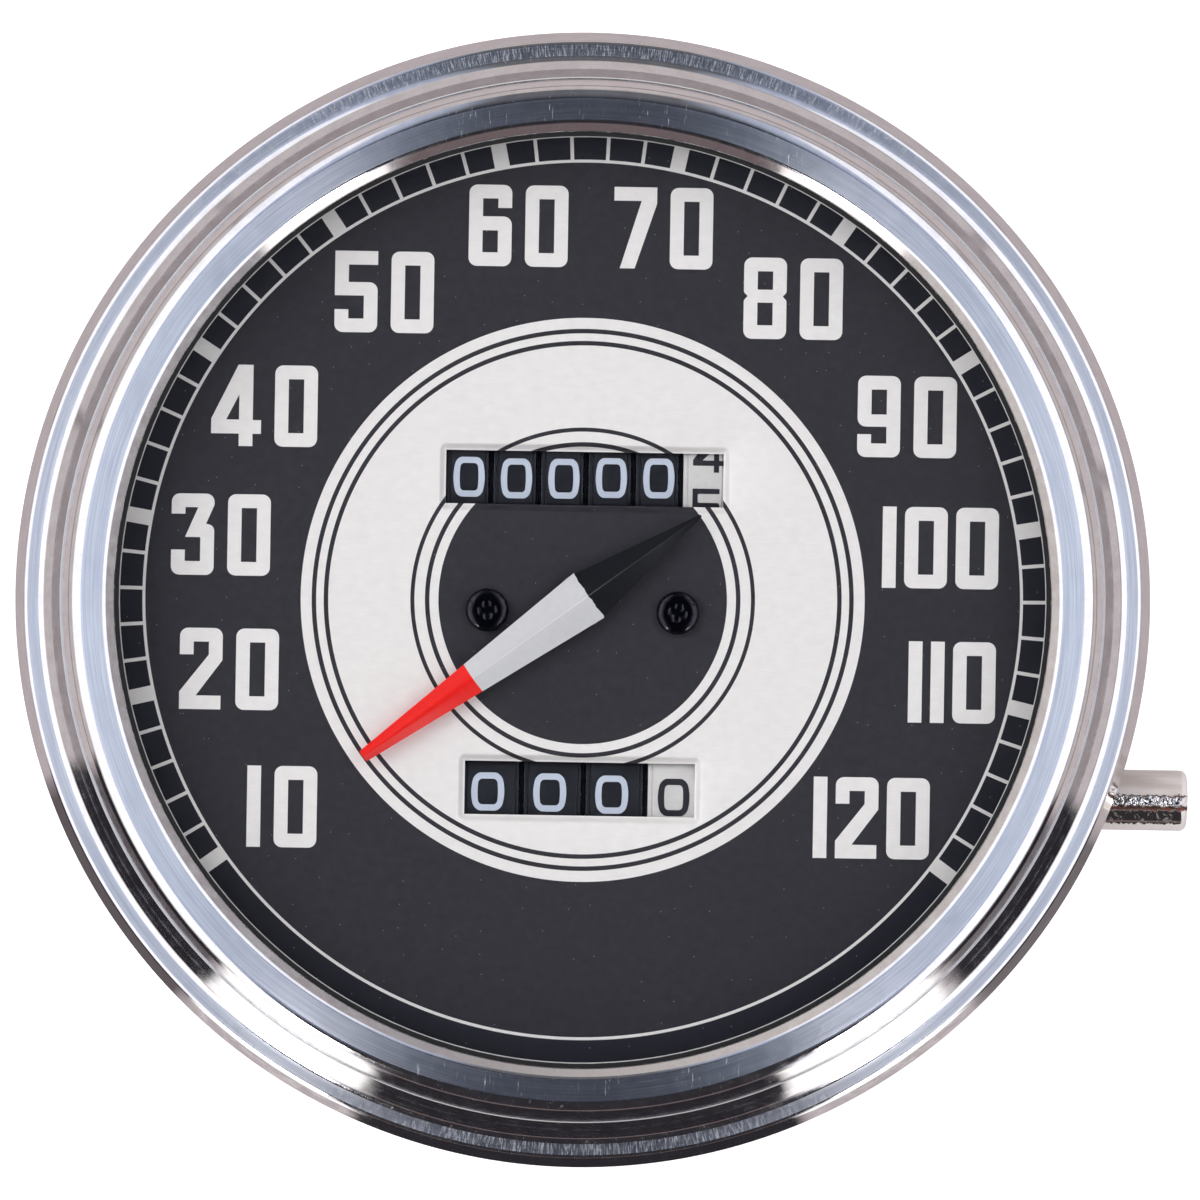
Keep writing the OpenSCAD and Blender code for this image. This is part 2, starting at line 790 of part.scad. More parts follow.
// Deep drawn case with the flange that the bezel's hem holds
module case() {
  color("dimgray")
    difference() {
      union() {
        cup_solid(case_r, case_back, case_corner, case_mouth);
        ring(flange_r, case_r - case_t / 2, flange_z, flange_z + flange_t);
      }
      cup_solid(case_inner_r, case_floor, case_corner - case_t, case_mouth + 1);
      rod(spigot_r, case_back - 1, case_floor + 1);
      lamp_places() rod(lamp_r, case_back - 1, case_floor + 1);
      stud_places() rod(stud_neck_r, case_back - 1, case_floor + 1);
      boss_places() rod(frame_screw_r + hole_gap, case_back - 1, case_floor + 1);
      along_x(-trip_drop, counter_z) rod(stem_bush_r, case_inner_r / 2, bezel_r);
    }
}

// Threaded nipple for the cable, staked into the back of the case
module cable_nipple() {
  color("silver")
    difference() {
      union() {
        rod(nipple_d / 2, nipple_end, case_back);
        rod(nipple_flange_r, case_back - nipple_flange_t, case_back);
        rod(spigot_r, case_back - 1, case_floor + stake_h);
      }
      rod(nipple_bore_d / 2, nipple_end - 1, case_floor + stake_h + 1);
    }
}

// Two studs for the mounting bracket, with their heads inside the case
module mounting_studs() {
  color("silver")
    stud_places() {
      rod(stud_r, case_back - stud_l, case_back);
      rod(stud_neck_r, case_back - overlap, case_floor + overlap);
      rod(stud_head_r, case_floor, case_floor + stud_head_t);
    }
}

// Two push-in lamp holders
module lamp_holders() {
  color("silver")
    lamp_places()
      difference() {
        union() {
          rod(lamp_r, case_back - lamp_back, case_back + lamp_front);
          rod(lamp_flange_r, case_back - lamp_flange_t, case_back);
        }
        rod(bulb_r, case_back + bulb_seat, case_back + lamp_front + 1);
        rod(terminal_r, case_back - lamp_back - 1, case_back - lamp_back + terminal_depth);
      }
}

// Two bayonet bulbs in their holders
module lamp_bulbs() {
  foot = case_back + bulb_seat;
  neck = foot + lamp_front + bulb_neck;
  color("white")
    lamp_places()
      rotate_extrude()
        polygon(concat(
          [[0, foot], [bulb_r, foot], [bulb_r, neck]],
          [for (a = [0:15:90]) [bulb_r * cos(a), neck + bulb_dome + bulb_r * sin(a)]]
        ));
}

// Guide of the reset stem in the case wall
module stem_bush() {
  color("silver")
    along_x(-trip_drop, counter_z)
      ring(stem_bush_r, stem_neck_d / 2 + run_gap, stem_bush_in, stem_bush_out);
}

// Plated stem that sets the trip counter back, with a shoulder outside its bush
module reset_stem() {
  color("silver")
    along_x(-trip_drop, counter_z)
      rotate_extrude()
        polygon(concat(
          [[axle_r, stem_inner_x + axle_grip], [axle_r, stem_inner_x],
           [stem_neck_d / 2, stem_inner_x], [stem_neck_d / 2, stem_shoulder_x],
           [stem_d / 2, stem_shoulder_x]],
          [for (a = [0:15:90]) [stem_d / 2 - stem_round * (1 - cos(a)),
                               stem_reach - stem_round * (1 - sin(a))]],
          [[0, stem_reach], [0, stem_inner_x + axle_grip]]
        ));
}

// Axle that turns the trip wheels when the stem is turned
module trip_axle() {
  color("silver")
    along_x(-trip_drop, counter_z)
      rod(axle_r, -bracket_out - axle_end, stem_inner_x + axle_grip);
}

// Fixed axle of the odometer
module odometer_axle() {
  color("silver")
    along_x(odometer_y, counter_z)
      rod(axle_r, -bracket_out - axle_end, counter_shaft_x + gear_w / 2 + 2 * axle_end);
}

// Middle of one number wheel along the counter, from the left
function wheel_x(index, count, pitch, shift) = shift + (index - (count + 1) / 2) * pitch;

// Number wheel with a rim, a web and a hub, centred on its own width
module number_wheel(width) {
  difference() {
    rod(wheel_r, -width / 2, width / 2);
    rod(axle_r + run_gap, -width, width);
    ring(wheel_r - rim_t, wheel_hub_r, -width, width / 2 - web_t);
  }
}

// One odometer wheel, counted from the left
module odometer_wheel(index) {
  color(index == odometer_count ? "white" : "black")
    along_x(odometer_y, counter_z)
      translate([0, 0, wheel_x(index, odometer_count, odometer_pitch, odometer_shift)])
        number_wheel(odometer_wheel_w);
}
module odometer_wheel_1() { odometer_wheel(1); }
module odometer_wheel_2() { odometer_wheel(2); }
module odometer_wheel_3() { odometer_wheel(3); }
module odometer_wheel_4() { odometer_wheel(4); }
module odometer_wheel_5() { odometer_wheel(5); }
module odometer_wheel_6() { odometer_wheel(6); }

// One trip wheel, counted from the left
module trip_wheel(index) {
  color(index == trip_count ? "white" : "black")
    along_x(-trip_drop, counter_z)
      translate([0, 0, wheel_x(index, trip_count, trip_pitch, trip_shift)])
        number_wheel(trip_wheel_w);
}
module trip_wheel_1() { trip_wheel(1); }
module trip_wheel_2() { trip_wheel(2); }
module trip_wheel_3() { trip_wheel(3); }
module trip_wheel_4() { trip_wheel(4); }

// Carrier plates between the wheels, each with an arm to its bar at one side
module carriers(count, pitch, shift, side) {
  for (i = [1:count - 1])
    translate([0, 0, (wheel_x(i, count, pitch, shift) + wheel_x(i + 1, count, pitch, shift)
                      - carrier_t) / 2])
      linear_extrude(carrier_t)
        difference() {
          union() {
            circle(carrier_r);
            rotate(45 * side)
              translate([0, -carrier_arm_w / 2]) square([sqrt(2) * bar_out, carrier_arm_w]);
            translate([bar_out, side * bar_out]) circle(2 * bar_r);
          }
          circle(axle_r + run_gap);
          translate([bar_out, side * bar_out]) circle(bar_r);
        }
}
module odometer_carriers() {
  color("goldenrod")
    along_x(odometer_y, counter_z)
      carriers(odometer_count, odometer_pitch, odometer_shift, 1);
}
module trip_carriers() {
  color("goldenrod")
    along_x(-trip_drop, counter_z)
      carriers(trip_count, trip_pitch, trip_shift, -1);
}

// Bar that keeps the carrier plates from turning, at a height of the dial
module carrier_bar(y) {
  color("silver")
    along_x(y, counter_z - bar_out)
      rod(bar_r, -bracket_out - bar_end, bracket_out + bar_end);
}
module odometer_carrier_bar() { carrier_bar(odometer_y + bar_out); }
module trip_carrier_bar() { carrier_bar(-trip_drop - bar_out); }

// Gear with a sleeve that reaches to the last wheel, turning on the counter's axle
module counter_gear(last_face) {
  difference() {
    union() {
      translate([0, 0, counter_shaft_x])
        gear(wheel_teeth, wheel_gear_r, gear_w,
             lead_angle(2, wheel_module, counter_worm_r), 0);
      rod(sleeve_r, last_face, counter_shaft_x + gear_w / 2 + sleeve_end);
    }
    rod(axle_r + run_gap, last_face - 1, counter_shaft_x + gear_w + 2);
  }
}
module odometer_gear() {
  color("gold")
    along_x(odometer_y, counter_z)
      counter_gear(wheel_x(odometer_count, odometer_count, odometer_pitch, odometer_shift)
                   + odometer_wheel_w / 2);
}
module trip_gear() {
  color("gold")
    along_x(-trip_drop, counter_z)
      counter_gear(wheel_x(trip_count, trip_count, trip_pitch, trip_shift)
                   + trip_wheel_w / 2 + slip_gap);
}

// Side plate that carries both axles and both carrier bars, with a foot on the mid plate
module counter_bracket(right) {
  end = bar_out + bracket_edge;
  color("lightgray")
    difference() {
      union() {
        translate([right ? bracket_x : -bracket_out, 0, 0])
          rotate([90, 0, 90])
            linear_extrude(bracket_t)
              polygon([
                [bracket_low, mid_top], [bracket_high, mid_top],
                [bracket_high, shelf_top], [odometer_y + tower_half, tower_top],
                [odometer_y - tower_half, tower_top], [odometer_y - end, shelf_top],
                [-trip_drop + end, shelf_top], [-trip_drop + tower_half, tower_top],
                [-trip_drop - tower_half, tower_top], [bracket_low, shelf_top]
              ]);
        translate([right ? bracket_out - overlap : -bracket_out - foot_l, -foot_w / 2, mid_top])
          cube([foot_l + overlap, foot_w, bracket_t]);
      }
      along_x(odometer_y, counter_z)
        rod(right ? sleeve_r + run_gap : axle_r, -2 * bracket_out, 2 * bracket_out);
      along_x(-trip_drop, counter_z)
        rod((right ? sleeve_r : axle_r) + run_gap, -2 * bracket_out, 2 * bracket_out);
      for (y = [odometer_y + bar_out, -trip_drop - bar_out])
        along_x(y, counter_z - bar_out) rod(bar_r, -2 * bracket_out, 2 * bracket_out);
      foot_screw_places() rod(frame_screw_r, mid_top - 1, mid_top + bracket_t + 1);
    }
}
module counter_bracket_left() { counter_bracket(false); }
module counter_bracket_right() { counter_bracket(true); }

// Both screws of the bracket feet
module foot_screw_places() {
  for (side = [-1, 1])
    translate([side * foot_screw_x, 0])
      children();
}

// Shaft along the counters, with a worm under each counter's gear
module counter_shaft() {
  color("silver")
    along_y(counter_shaft_x, counter_shaft_z) {
      rod(counter_shaft_r, counter_lugs_y[0] - shaft_end_over, counter_lugs_y[1] + shaft_end_over);
      for (y = [-trip_drop, odometer_y])
        translate([0, 0, y])
          worm(2, wheel_module, counter_worm_r, counter_worm_l, 270);
    }
}

// Gear of the counter shaft
module counter_shaft_gear() {
  color("gold")
    along_y(counter_shaft_x, counter_shaft_z)
      difference() {
        union() {
          translate([0, 0, cross_shaft_y])
            gear(counter_teeth, counter_gear_r, gear_w,
                 lead_angle(1, counter_module, cross_worm_r), 90);
          rod(counter_shaft_r + gear_hub_t, cross_shaft_y - gear_w, cross_shaft_y + gear_w);
        }
        rod(counter_shaft_r, cross_shaft_y - 2 * gear_w, cross_shaft_y + 2 * gear_w);
      }
}

// Cross shaft with the worm that drives the counter shaft
module cross_shaft() {
  color("silver")
    along_x(cross_shaft_y, cross_shaft_z) {
      rod(cross_shaft_r, cross_lugs_x[0] - cross_shaft_over, cross_lugs_x[2] + cross_shaft_over);
      translate([0, 0, counter_shaft_x])
        worm(1, counter_module, cross_worm_r, cross_worm_l, 180);
    }
}

// Gear of the cross shaft, driven by the drive shaft's worm
module cross_gear() {
  color("gold")
    along_x(cross_shaft_y, cross_shaft_z)
      difference() {
        union() {
          gear(cross_teeth, cross_gear_r, gear_w,
               lead_angle(1, cross_module, drive_worm_r), 90);
          rod(cross_shaft_r + 0.75 * gear_hub_t, -gear_w, gear_w);
        }
        rod(cross_shaft_r, -2 * gear_w, 2 * gear_w);
      }
}

// Drive shaft with the cable's square socket, its worm and the spindle's seat
module drive_shaft() {
  color("silver")
    difference() {
      union() {
        rod(shaft_end_r, shaft_end, base_back - bush_foot - shaft_end_gap);
        rod(drive_shaft_r, shaft_end + 1, magnet_top);
        translate([0, 0, cross_shaft_z])
          worm(1, cross_module, drive_worm_r, drive_worm_l, 270);
      }
      translate([-socket_w / 2, -socket_w / 2, shaft_end - 1])
        cube([socket_w, socket_w, socket_l + 1]);
      rod(spindle_r + run_gap, spindle_foot - foot_step, magnet_top + 1);
    }
}

// Two pole magnet with flats, pressed on the drive shaft
module magnet() {
  color("slategray")
    difference() {
      intersection() {
        rod(magnet_r, magnet_back, magnet_top);
        translate([-magnet_r - 1, -magnet_flats / 2, magnet_back - 1])
          cube([2 * magnet_r + 2, magnet_flats, magnet_t + 2]);
      }
      rod(drive_shaft_r, magnet_back - 1, magnet_top + 1);
    }
}

// Soft iron cup round the speed cup, hung from the mid plate
module field_cup() {
  color("darkgray") {
    ring(field_r, field_inner_r, field_foot, field_top - field_t / 2);
    ring(field_r, pillar_r, field_top - field_t, field_top);
  }
}

// Pillar places of the movement frame
module pillar_places() {
  for (p = pillars)
    translate(p)
      children();
}

// Plate behind the counters, on the frame's pillars
module mid_plate() {
  ear_x = bracket_out + foot_l;
  color("lightgray")
    difference() {
      union() {
        translate([-bracket_out, bracket_low, mid_back])
          cube([2 * bracket_out, bracket_high - bracket_low, mid_t]);
        translate([-ear_x, -foot_w / 2, mid_back])
          cube([2 * ear_x, foot_w, mid_t]);
      }
      rod(pillar_r, mid_back - 1, mid_top + 1);
      pillar_places() rod(frame_screw_r + hole_gap / 2, mid_back - 1, mid_top + 1);
      foot_screw_places() rod(frame_screw_r, mid_back - 1, mid_top + 1);
    }
}

// Lug with cut corners that rises from the base plate, its bore along Z at the origin
module lug(height) {
  cut = lug_half / 2;
  difference() {
    translate([0, 0, -lug_t / 2])
      linear_extrude(lug_t)
        polygon([
          [-lug_half, -height], [lug_half, -height], [lug_half, lug_over - cut],
          [lug_half - cut, lug_over], [cut - lug_half, lug_over], [-lug_half, lug_over - cut]
        ]);
    children();
  }
}

// Cast frame with its bosses, pillars and lugs
module movement_frame() {
  slot_r = cross_gear_r + addendum * cross_module + gear_room;
  color("darkgray")
    difference() {
      union() {
        translate([0, 0, base_back])
          linear_extrude(base_t)
            polygon([
              [base_left + base_chamfer, base_low], [base_right - base_chamfer, base_low],
              [base_right, base_low + base_chamfer], [base_right, base_high - base_chamfer],
              [base_right - base_chamfer, base_high], [base_left + base_chamfer, base_high],
              [base_left, base_high - base_chamfer], [base_left, base_low + base_chamfer]
            ]);
        boss_places() rod(boss_r, case_floor, base_back + overlap);
        pillar_places() rod(pillar_r, base_top - overlap, mid_back);
        for (x = cross_lugs_x)
          translate([x, cross_shaft_y, cross_shaft_z])
            rotate([90, 0, 90])
              lug(cross_shaft_z - base_top + overlap)
                rod(cross_shaft_r + run_gap, -lug_t, lug_t);
        for (y = counter_lugs_y)
          translate([counter_shaft_x, y, counter_shaft_z])
            rotate([90, 0, 0])
              lug(counter_shaft_z - base_top + overlap)
                rod(counter_shaft_r + run_gap, -lug_t, lug_t);
      }
      rod(bush_r, base_back - 1, base_top + 1);
      along_x(cross_shaft_y, cross_shaft_z)
        rod(slot_r, -gear_w / 2 - gear_room, gear_w / 2 + gear_room);
      boss_places() rod(frame_screw_r, case_floor - 1, base_back + 1);
      pillar_places() rod(frame_screw_r, mid_back - pillar_thread - 1, mid_back + 1);
    }
}

// Bronze bush of the drive shaft, with a flange behind the base plate
module drive_bush() {
  color("peru") {
    ring(bush_r, drive_shaft_r + run_gap, base_back - bush_foot, base_top + bush_head);
    ring(bush_r + bush_flange, bush_r - overlap, base_back - bush_foot, base_back);
  }
}

// Screws of the mid plate and the bracket feet
module plate_screws() {
  color("silver") {
    pillar_places() {
      rod(screw_head_r, mid_top, mid_top + plate_head_t);
      rod(frame_screw_r, mid_back - pillar_thread, mid_top + overlap);
    }
    foot_screw_places() {
      rod(foot_head_r, mid_top + bracket_t, mid_top + bracket_t + foot_head_t);
      rod(frame_screw_r, mid_back, mid_top + bracket_t + overlap);
    }
  }
}

// Screws that hold the movement to the back of the case
module case_screws() {
  color("silver")
    boss_places() {
      rod(screw_head_r, case_back - screw_head_t, case_back);
      rod(frame_screw_r, case_back - overlap, base_back);
    }
}

bezel();
glass();
glass_gasket();
dial();
dial_screws();
pointer();
spindle();
stop_arm();
speed_cup();
hairspring();
case();
cable_nipple();
mounting_studs();
lamp_holders();
lamp_bulbs();
stem_bush();
reset_stem();
trip_axle();
trip_gear();
trip_wheel_1();
trip_wheel_2();
trip_wheel_3();
trip_wheel_4();
trip_carriers();
trip_carrier_bar();
odometer_axle();
odometer_wheel_1();
odometer_wheel_2();
odometer_wheel_3();
odometer_wheel_4();
odometer_wheel_5();
odometer_wheel_6();
odometer_gear();
odometer_carriers();
odometer_carrier_bar();
counter_bracket_left();
counter_bracket_right();
counter_shaft();
counter_shaft_gear();
cross_shaft();
cross_gear();
drive_shaft();
magnet();
field_cup();
spring_bridge();
dial_posts();
mid_plate();
movement_frame();
drive_bush();
plate_screws();
case_screws();
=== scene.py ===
"""The looks of a panel speedometer, laid out as a Blender add-on.

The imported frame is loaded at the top; each operator then makes one piece or group of like pieces in
metres, with its place in its mesh. Lengths inside the shape functions are millimetres, +Z is the way the
face looks, +Y is twelve o'clock, and the origin is the middle of the bezel's seat.
"""

import json
import math

import bmesh
import bpy
import numpy as np
from mathutils.geometry import delaunay_2d_cdt
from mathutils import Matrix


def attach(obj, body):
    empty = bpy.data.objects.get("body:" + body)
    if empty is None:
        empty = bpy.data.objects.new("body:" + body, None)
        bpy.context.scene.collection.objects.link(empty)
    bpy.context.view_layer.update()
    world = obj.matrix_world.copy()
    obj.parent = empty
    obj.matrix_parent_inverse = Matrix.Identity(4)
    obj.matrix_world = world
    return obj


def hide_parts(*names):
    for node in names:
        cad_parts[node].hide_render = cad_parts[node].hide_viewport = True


bl_info = {
    "name": "Panel speedometer",
    "version": (1, 0, 0),
    "blender": (4, 5, 0),
    "location": "View3D > Sidebar > Speedometer",
    "description": "Builds the visible pieces and finishes of a panel speedometer on its packed frame",
    "category": "Add Mesh",
}

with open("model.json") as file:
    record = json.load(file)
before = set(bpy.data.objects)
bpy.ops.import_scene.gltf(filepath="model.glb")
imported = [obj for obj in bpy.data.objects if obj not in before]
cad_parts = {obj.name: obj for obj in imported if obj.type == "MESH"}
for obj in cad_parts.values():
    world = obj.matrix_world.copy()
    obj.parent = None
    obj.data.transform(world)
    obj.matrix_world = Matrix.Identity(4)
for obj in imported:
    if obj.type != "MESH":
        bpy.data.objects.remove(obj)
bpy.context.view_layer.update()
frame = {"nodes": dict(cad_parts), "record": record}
MM = 0.001


# Colours and shader nodes

TIMES = {"operation": "MULTIPLY"}
LARGER = {"operation": "MAXIMUM"}
SMOOTH = {"interpolation_type": "SMOOTHSTEP"}
COLOUR = {"data_type": "RGBA"}
# sockets of the two colours of a Mix node
LOW, HIGH = 6, 7


def linear(hex_colour):
    """sRGB hex to linear RGBA: c / 12.92 up to 0.04045, above it ((c + 0.055) / 1.055) to the power 2.4."""
    code = hex_colour.lstrip("#")
    channels = np.array([int(code[i : i + 2], 16) for i in (0, 2, 4)]) / 255
    low = channels / 12.92
    high = ((channels + 0.055) / 1.055) ** 2.4
    return (*np.where(channels <= 0.04045, low, high), 1.0)


def colour_setting(name, description, hex_colour):
    """A colour that the user can change, linear RGBA with its default from sRGB hex."""
    return bpy.props.FloatVectorProperty(
        name=name, description=description, default=linear(hex_colour), size=4, min=0, max=1, subtype="COLOR"
    )


def add(tree, kind, settings=None, links=None):
    """Adds one shader node.

    A settings key is a socket's name or number, a property, or stops: a colour ramp's positions and colours.
    links maps sockets to outputs, or to nodes, which give their first output that is in use.
    """
    made = tree.nodes.new(f"ShaderNode{kind}")
    for key, value in (settings or {}).items():
        if key == "stops":
            ends = (made.color_ramp.elements[0], made.color_ramp.elements[1])
            for element, stop in zip(ends, (value[0], value[-1])):
                element.position, element.color = stop
            for position, colour in value[1:-1]:
                made.color_ramp.elements.new(position).color = colour
        elif isinstance(key, int) or key in made.inputs:
            made.inputs[key].default_value = value
        else:
            setattr(made, key, value)
    for key, source in (links or {}).items():
        if isinstance(source, bpy.types.Node):
            source = next(output for output in source.outputs if output.enabled)
        tree.links.new(source, made.inputs[key])
    return made


def new_material(name):
    """An empty node material with its tree and its Object coordinates."""
    material = bpy.data.materials.new(name)
    material.use_nodes = True
    tree = material.node_tree
    tree.nodes.clear()
    return material, tree, add(tree, "TexCoord").outputs["Object"]


def per_metre(size_mm):
    """Texture scale for a pattern whose repeat is size_mm."""
    return 1 / (size_mm * MM)


def worn_finish(name, tones, metallic, roughness, grain, bump=0.0, blotch=9.0, stretch=(1, 1, 1), extra=None):
    """A Principled finish whose colour and roughness wander.

    tones: dark and light, each as hex or linear RGBA; roughness: its lowest and highest; grain and blotch:
    repeats of the fine and the slow pattern in mm; bump: height of the fine one in mm; stretch: its scale
    along each axis, less than 1 where it is drawn out.
    """
    material, tree, place = new_material(name)
    stretched = add(tree, "Mapping", {"Scale": stretch}, {"Vector": place})
    fine = {"Scale": per_metre(grain), "Detail": 3.0, "Roughness": 0.6}
    fine = add(tree, "TexNoise", fine, {"Vector": stretched})
    slow = add(tree, "TexNoise", {"Scale": per_metre(blotch), "Detail": 4.0}, {"Vector": place})
    half = add(tree, "Math", {**TIMES, 1: 0.5}, {0: slow})
    both = add(tree, "Math", {"operation": "MULTIPLY_ADD", 1: 0.5}, {0: fine, 2: half})
    dark, light = (linear(tone) if isinstance(tone, str) else tone for tone in tones)
    tone = add(tree, "ValToRGB", {"stops": ((0.3, dark), (0.7, light))}, {"Fac": both})
    spread = {"From Min": 0.3, "From Max": 0.7, "To Min": roughness[0], "To Max": roughness[1]}
    links = {"Base Color": tone, "Roughness": add(tree, "MapRange", spread, {"Value": both})}
    if bump:
        links["Normal"] = add(tree, "Bump", {"Strength": 1.0, "Distance": bump * MM}, {"Height": fine})
    shader = add(tree, "BsdfPrincipled", {"Metallic": metallic, **(extra or {})}, links)
    add(tree, "OutputMaterial", None, {0: shader})
    return material


# Outlines, grids and lathes


def rounded(corners, steps=6, support=0.0):
    """Closed outline from rows of x, y and corner radius.

    With turn angle a at a corner P, the round starts t = r tan(a / 2) before it, and its points are
    P - u t + r (u sin(s a) + n (1 - cos(s a))) for s from 0 to 1, u being the way in and n the normal
    towards the turn. support adds a point that far inside each end of a straight.
    """
    corners = np.asarray(corners, float)
    tip = corners[:, :2]
    radius = corners[:, 2]
    way_in = tip - np.roll(tip, 1, 0)
    way_in /= np.linalg.norm(way_in, axis=1, keepdims=True)
    way_out = np.roll(way_in, -1, 0)
    cross = way_in[:, 0] * way_out[:, 1] - way_in[:, 1] * way_out[:, 0]
    turn = np.arctan2(cross, (way_in * way_out).sum(1))
    inward = np.stack([-way_in[:, 1], way_in[:, 0]], 1) * np.sign(turn)[:, None]
    swept = np.abs(turn)[:, None] * np.linspace(0, 1, steps)[None]
    start = tip - way_in * (radius * np.tan(np.abs(turn) / 2))[:, None]
    arc = start[:, None] + radius[:, None, None] * (
        way_in[:, None] * np.sin(swept)[..., None] + inward[:, None] * (1 - np.cos(swept))[..., None]
    )
    if support:
        gap = np.roll(arc[:, 0], -1, 0) - arc[:, -1]
        share = np.minimum(support / np.linalg.norm(gap, axis=1, keepdims=True), 0.3)
        held = [(arc[:, -1] + gap * part)[:, None] for part in (share, 1 - share)]
        arc = np.concatenate([arc, *held], 1)
    return arc.reshape(-1, 2)


def without_repeats(outline):
    """The outline without points that repeat the one before."""
    step = np.linalg.norm(outline - np.roll(outline, 1, 0), axis=1)
    return outline[step > 1e-6]


def moved_sideways(path, distance):
    """An open path moved to its left: a point goes along the mitre (n1 + n2) / (1 + n1.n2) times distance."""
    along = np.diff(path, axis=0)
    along /= np.linalg.norm(along, axis=1, keepdims=True)
    left = np.stack([-along[:, 1], along[:, 0]], 1)
    before = np.concatenate([left[:1], left])
    after = np.concatenate([left, left[-1:]])
    mitre = (before + after) / (1 + (before * after).sum(1))[:, None]
    return path + mitre * distance


def circle(radius, segments):
    """Points radius (cos t, sin t), t going once round."""
    turn = np.linspace(0, 2 * math.pi, segments, endpoint=False)
    return np.stack([radius * np.cos(turn), radius * np.sin(turn)], 1)


def grid_faces(rows, columns, close_rows=False, close_columns=False):
    """Quads of a grid of points: (i, j), (i + 1, j), (i + 1, j + 1), (i, j + 1)."""
    row = np.arange(rows if close_rows else rows - 1)
    column = np.arange(columns if close_columns else columns - 1)
    i, j = (a.ravel() for a in np.meshgrid(row, column, indexing="ij"))
    k = (i + 1) % rows
    m = (j + 1) % columns
    return np.stack([i * columns + j, k * columns + j, k * columns + m, i * columns + m], 1)


def turned(profile, segments, axis="z"):
    """Surface of revolution: profile point (r, h) becomes (r cos t, r sin t) about the axis, at height h."""
    turn = np.linspace(0, 2 * math.pi, segments, endpoint=False)
    across = profile[:, :1] * np.cos(turn)[None]
    up = profile[:, :1] * np.sin(turn)[None]
    height = np.broadcast_to(profile[:, 1:], across.shape)
    if axis == "x":
        return np.stack([height, across, up], -1).reshape(-1, 3)
    return np.stack([across, up, height], -1).reshape(-1, 3)


def filled(outlines, cuts=()):
    """Triangles inside closed outlines by the even-odd rule, cut also along open polylines.

    Returns points and triangles; a triangle stays when a ray from its middle crosses the outlines an odd
    number of times.
    """
    points, triangles = partition(outlines, cuts)
    middle = points[triangles].mean(1)
    return points, triangles[inside(middle, outlines)]


def partition(outlines, cuts=()):
    """Constrained Delaunay triangles of everything inside the hull, with every outline and cut as edges."""
    edges = []
    count = 0
    for line, closed in [(outline, True) for outline in outlines] + [(cut, False) for cut in cuts]:
        run = np.arange(len(line) if closed else len(line) - 1)
        edges.append(np.stack([run, (run + 1) % len(line)], 1) + count)
        count += len(line)
    places = np.concatenate([*outlines, *cuts])
    made = delaunay_2d_cdt(places.tolist(), np.concatenate(edges).tolist(), [], 0, 1e-5)
    points = np.array(made[0])
    triangles = np.array(made[2])
    corner = points[triangles]
    side_a = corner[:, 1] - corner[:, 0]
    side_b = corner[:, 2] - corner[:, 0]
    area = side_a[:, 0] * side_b[:, 1] - side_a[:, 1] * side_b[:, 0]
    triangles[area < 0] = triangles[area < 0][:, ::-1]
    return points, triangles[np.abs(area) > 1e-9]


def inside(places, outlines):
    """True where a ray along +x from a place crosses the outlines an odd number of times."""
    odd = np.zeros(len(places), bool)
    for outline in outlines:
        near = (places >= outline.min(0)).all(1) & (places <= outline.max(0)).all(1)
        x, y = places[near, 0, None], places[near, 1, None]
        x1, y1 = outline.T
        x2, y2 = np.roll(outline, -1, 0).T
        spans = (y1 > y) != (y2 > y)
        with np.errstate(divide="ignore", invalid="ignore"):
            meets = x < x1 + (y - y1) * (x2 - x1) / (y2 - y1)
        odd[near] ^= (spans & meets).sum(1) % 2 == 1
    return odd


def thickened(top, under, triangles):
    """A closed shell: the triangles on top, reversed underneath, and a quad on each edge used only once."""
    count = len(top)
    sides = np.concatenate([triangles[:, [0, 1]], triangles[:, [1, 2]], triangles[:, [2, 0]]])
    key = np.sort(sides, 1)
    _, first, uses = np.unique(key, axis=0, return_index=True, return_counts=True)
    rim = sides[first[uses == 1]]
    walls = np.stack([rim[:, 1], rim[:, 0], rim[:, 0] + count, rim[:, 1] + count], 1)
    return np.concatenate([top, under]), [triangles, triangles[:, ::-1] + count, walls]


def make_piece(node, ending, body, shape, materials, index=None, sharp=35.0):
    """Makes the piece that stands for a CAD node, from points in mm and blocks of faces.

    It is named for the node with an ending, rides on the body and takes the finishes given. Doubles are
    merged, and edges past sharp degrees stay crisp.
    """
    name = f"{node}_{ending}"
    points, blocks = shape
    mesh = bpy.data.meshes.new(name)
    mesh.from_pydata((points * MM).tolist(), [], [face for block in blocks for face in block.tolist()])
    for material in materials:
        mesh.materials.append(material)
    if index is not None:
        mesh.polygons.foreach_set("material_index", np.asarray(index, np.int32))
    shell = bmesh.new()
    shell.from_mesh(mesh)
    bmesh.ops.remove_doubles(shell, verts=shell.verts, dist=2e-8)
    bmesh.ops.recalc_face_normals(shell, faces=shell.faces)
    shell.to_mesh(mesh)
    shell.free()
    mesh.shade_smooth()
    mesh.set_sharp_from_angle(angle=math.radians(sharp))
    made = bpy.data.objects.new(name, mesh)
    bpy.context.scene.collection.objects.link(made)
    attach(made, body)
    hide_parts(node)


def joined(parts):
    """Stacks several (points, blocks) into one, each block's numbers moved past the points before it."""
    points = np.concatenate([part[0] for part in parts])
    starts = np.cumsum([0] + [len(part[0]) for part in parts[:-1]])
    return points, [block + start for part, start in zip(parts, starts) for block in part[1]]


# The bezel

# brushed faces lie above this height and rise or fall by less than this share of their length
BRUSHED_ABOVE = 4.2
BRUSHED_SLOPE = 0.23
# middle of the sheared edge, as radius and height, and how far it reaches either way
SHEARED_EDGE = (57.92, 7.83)
SHEARED_REACH = 0.07


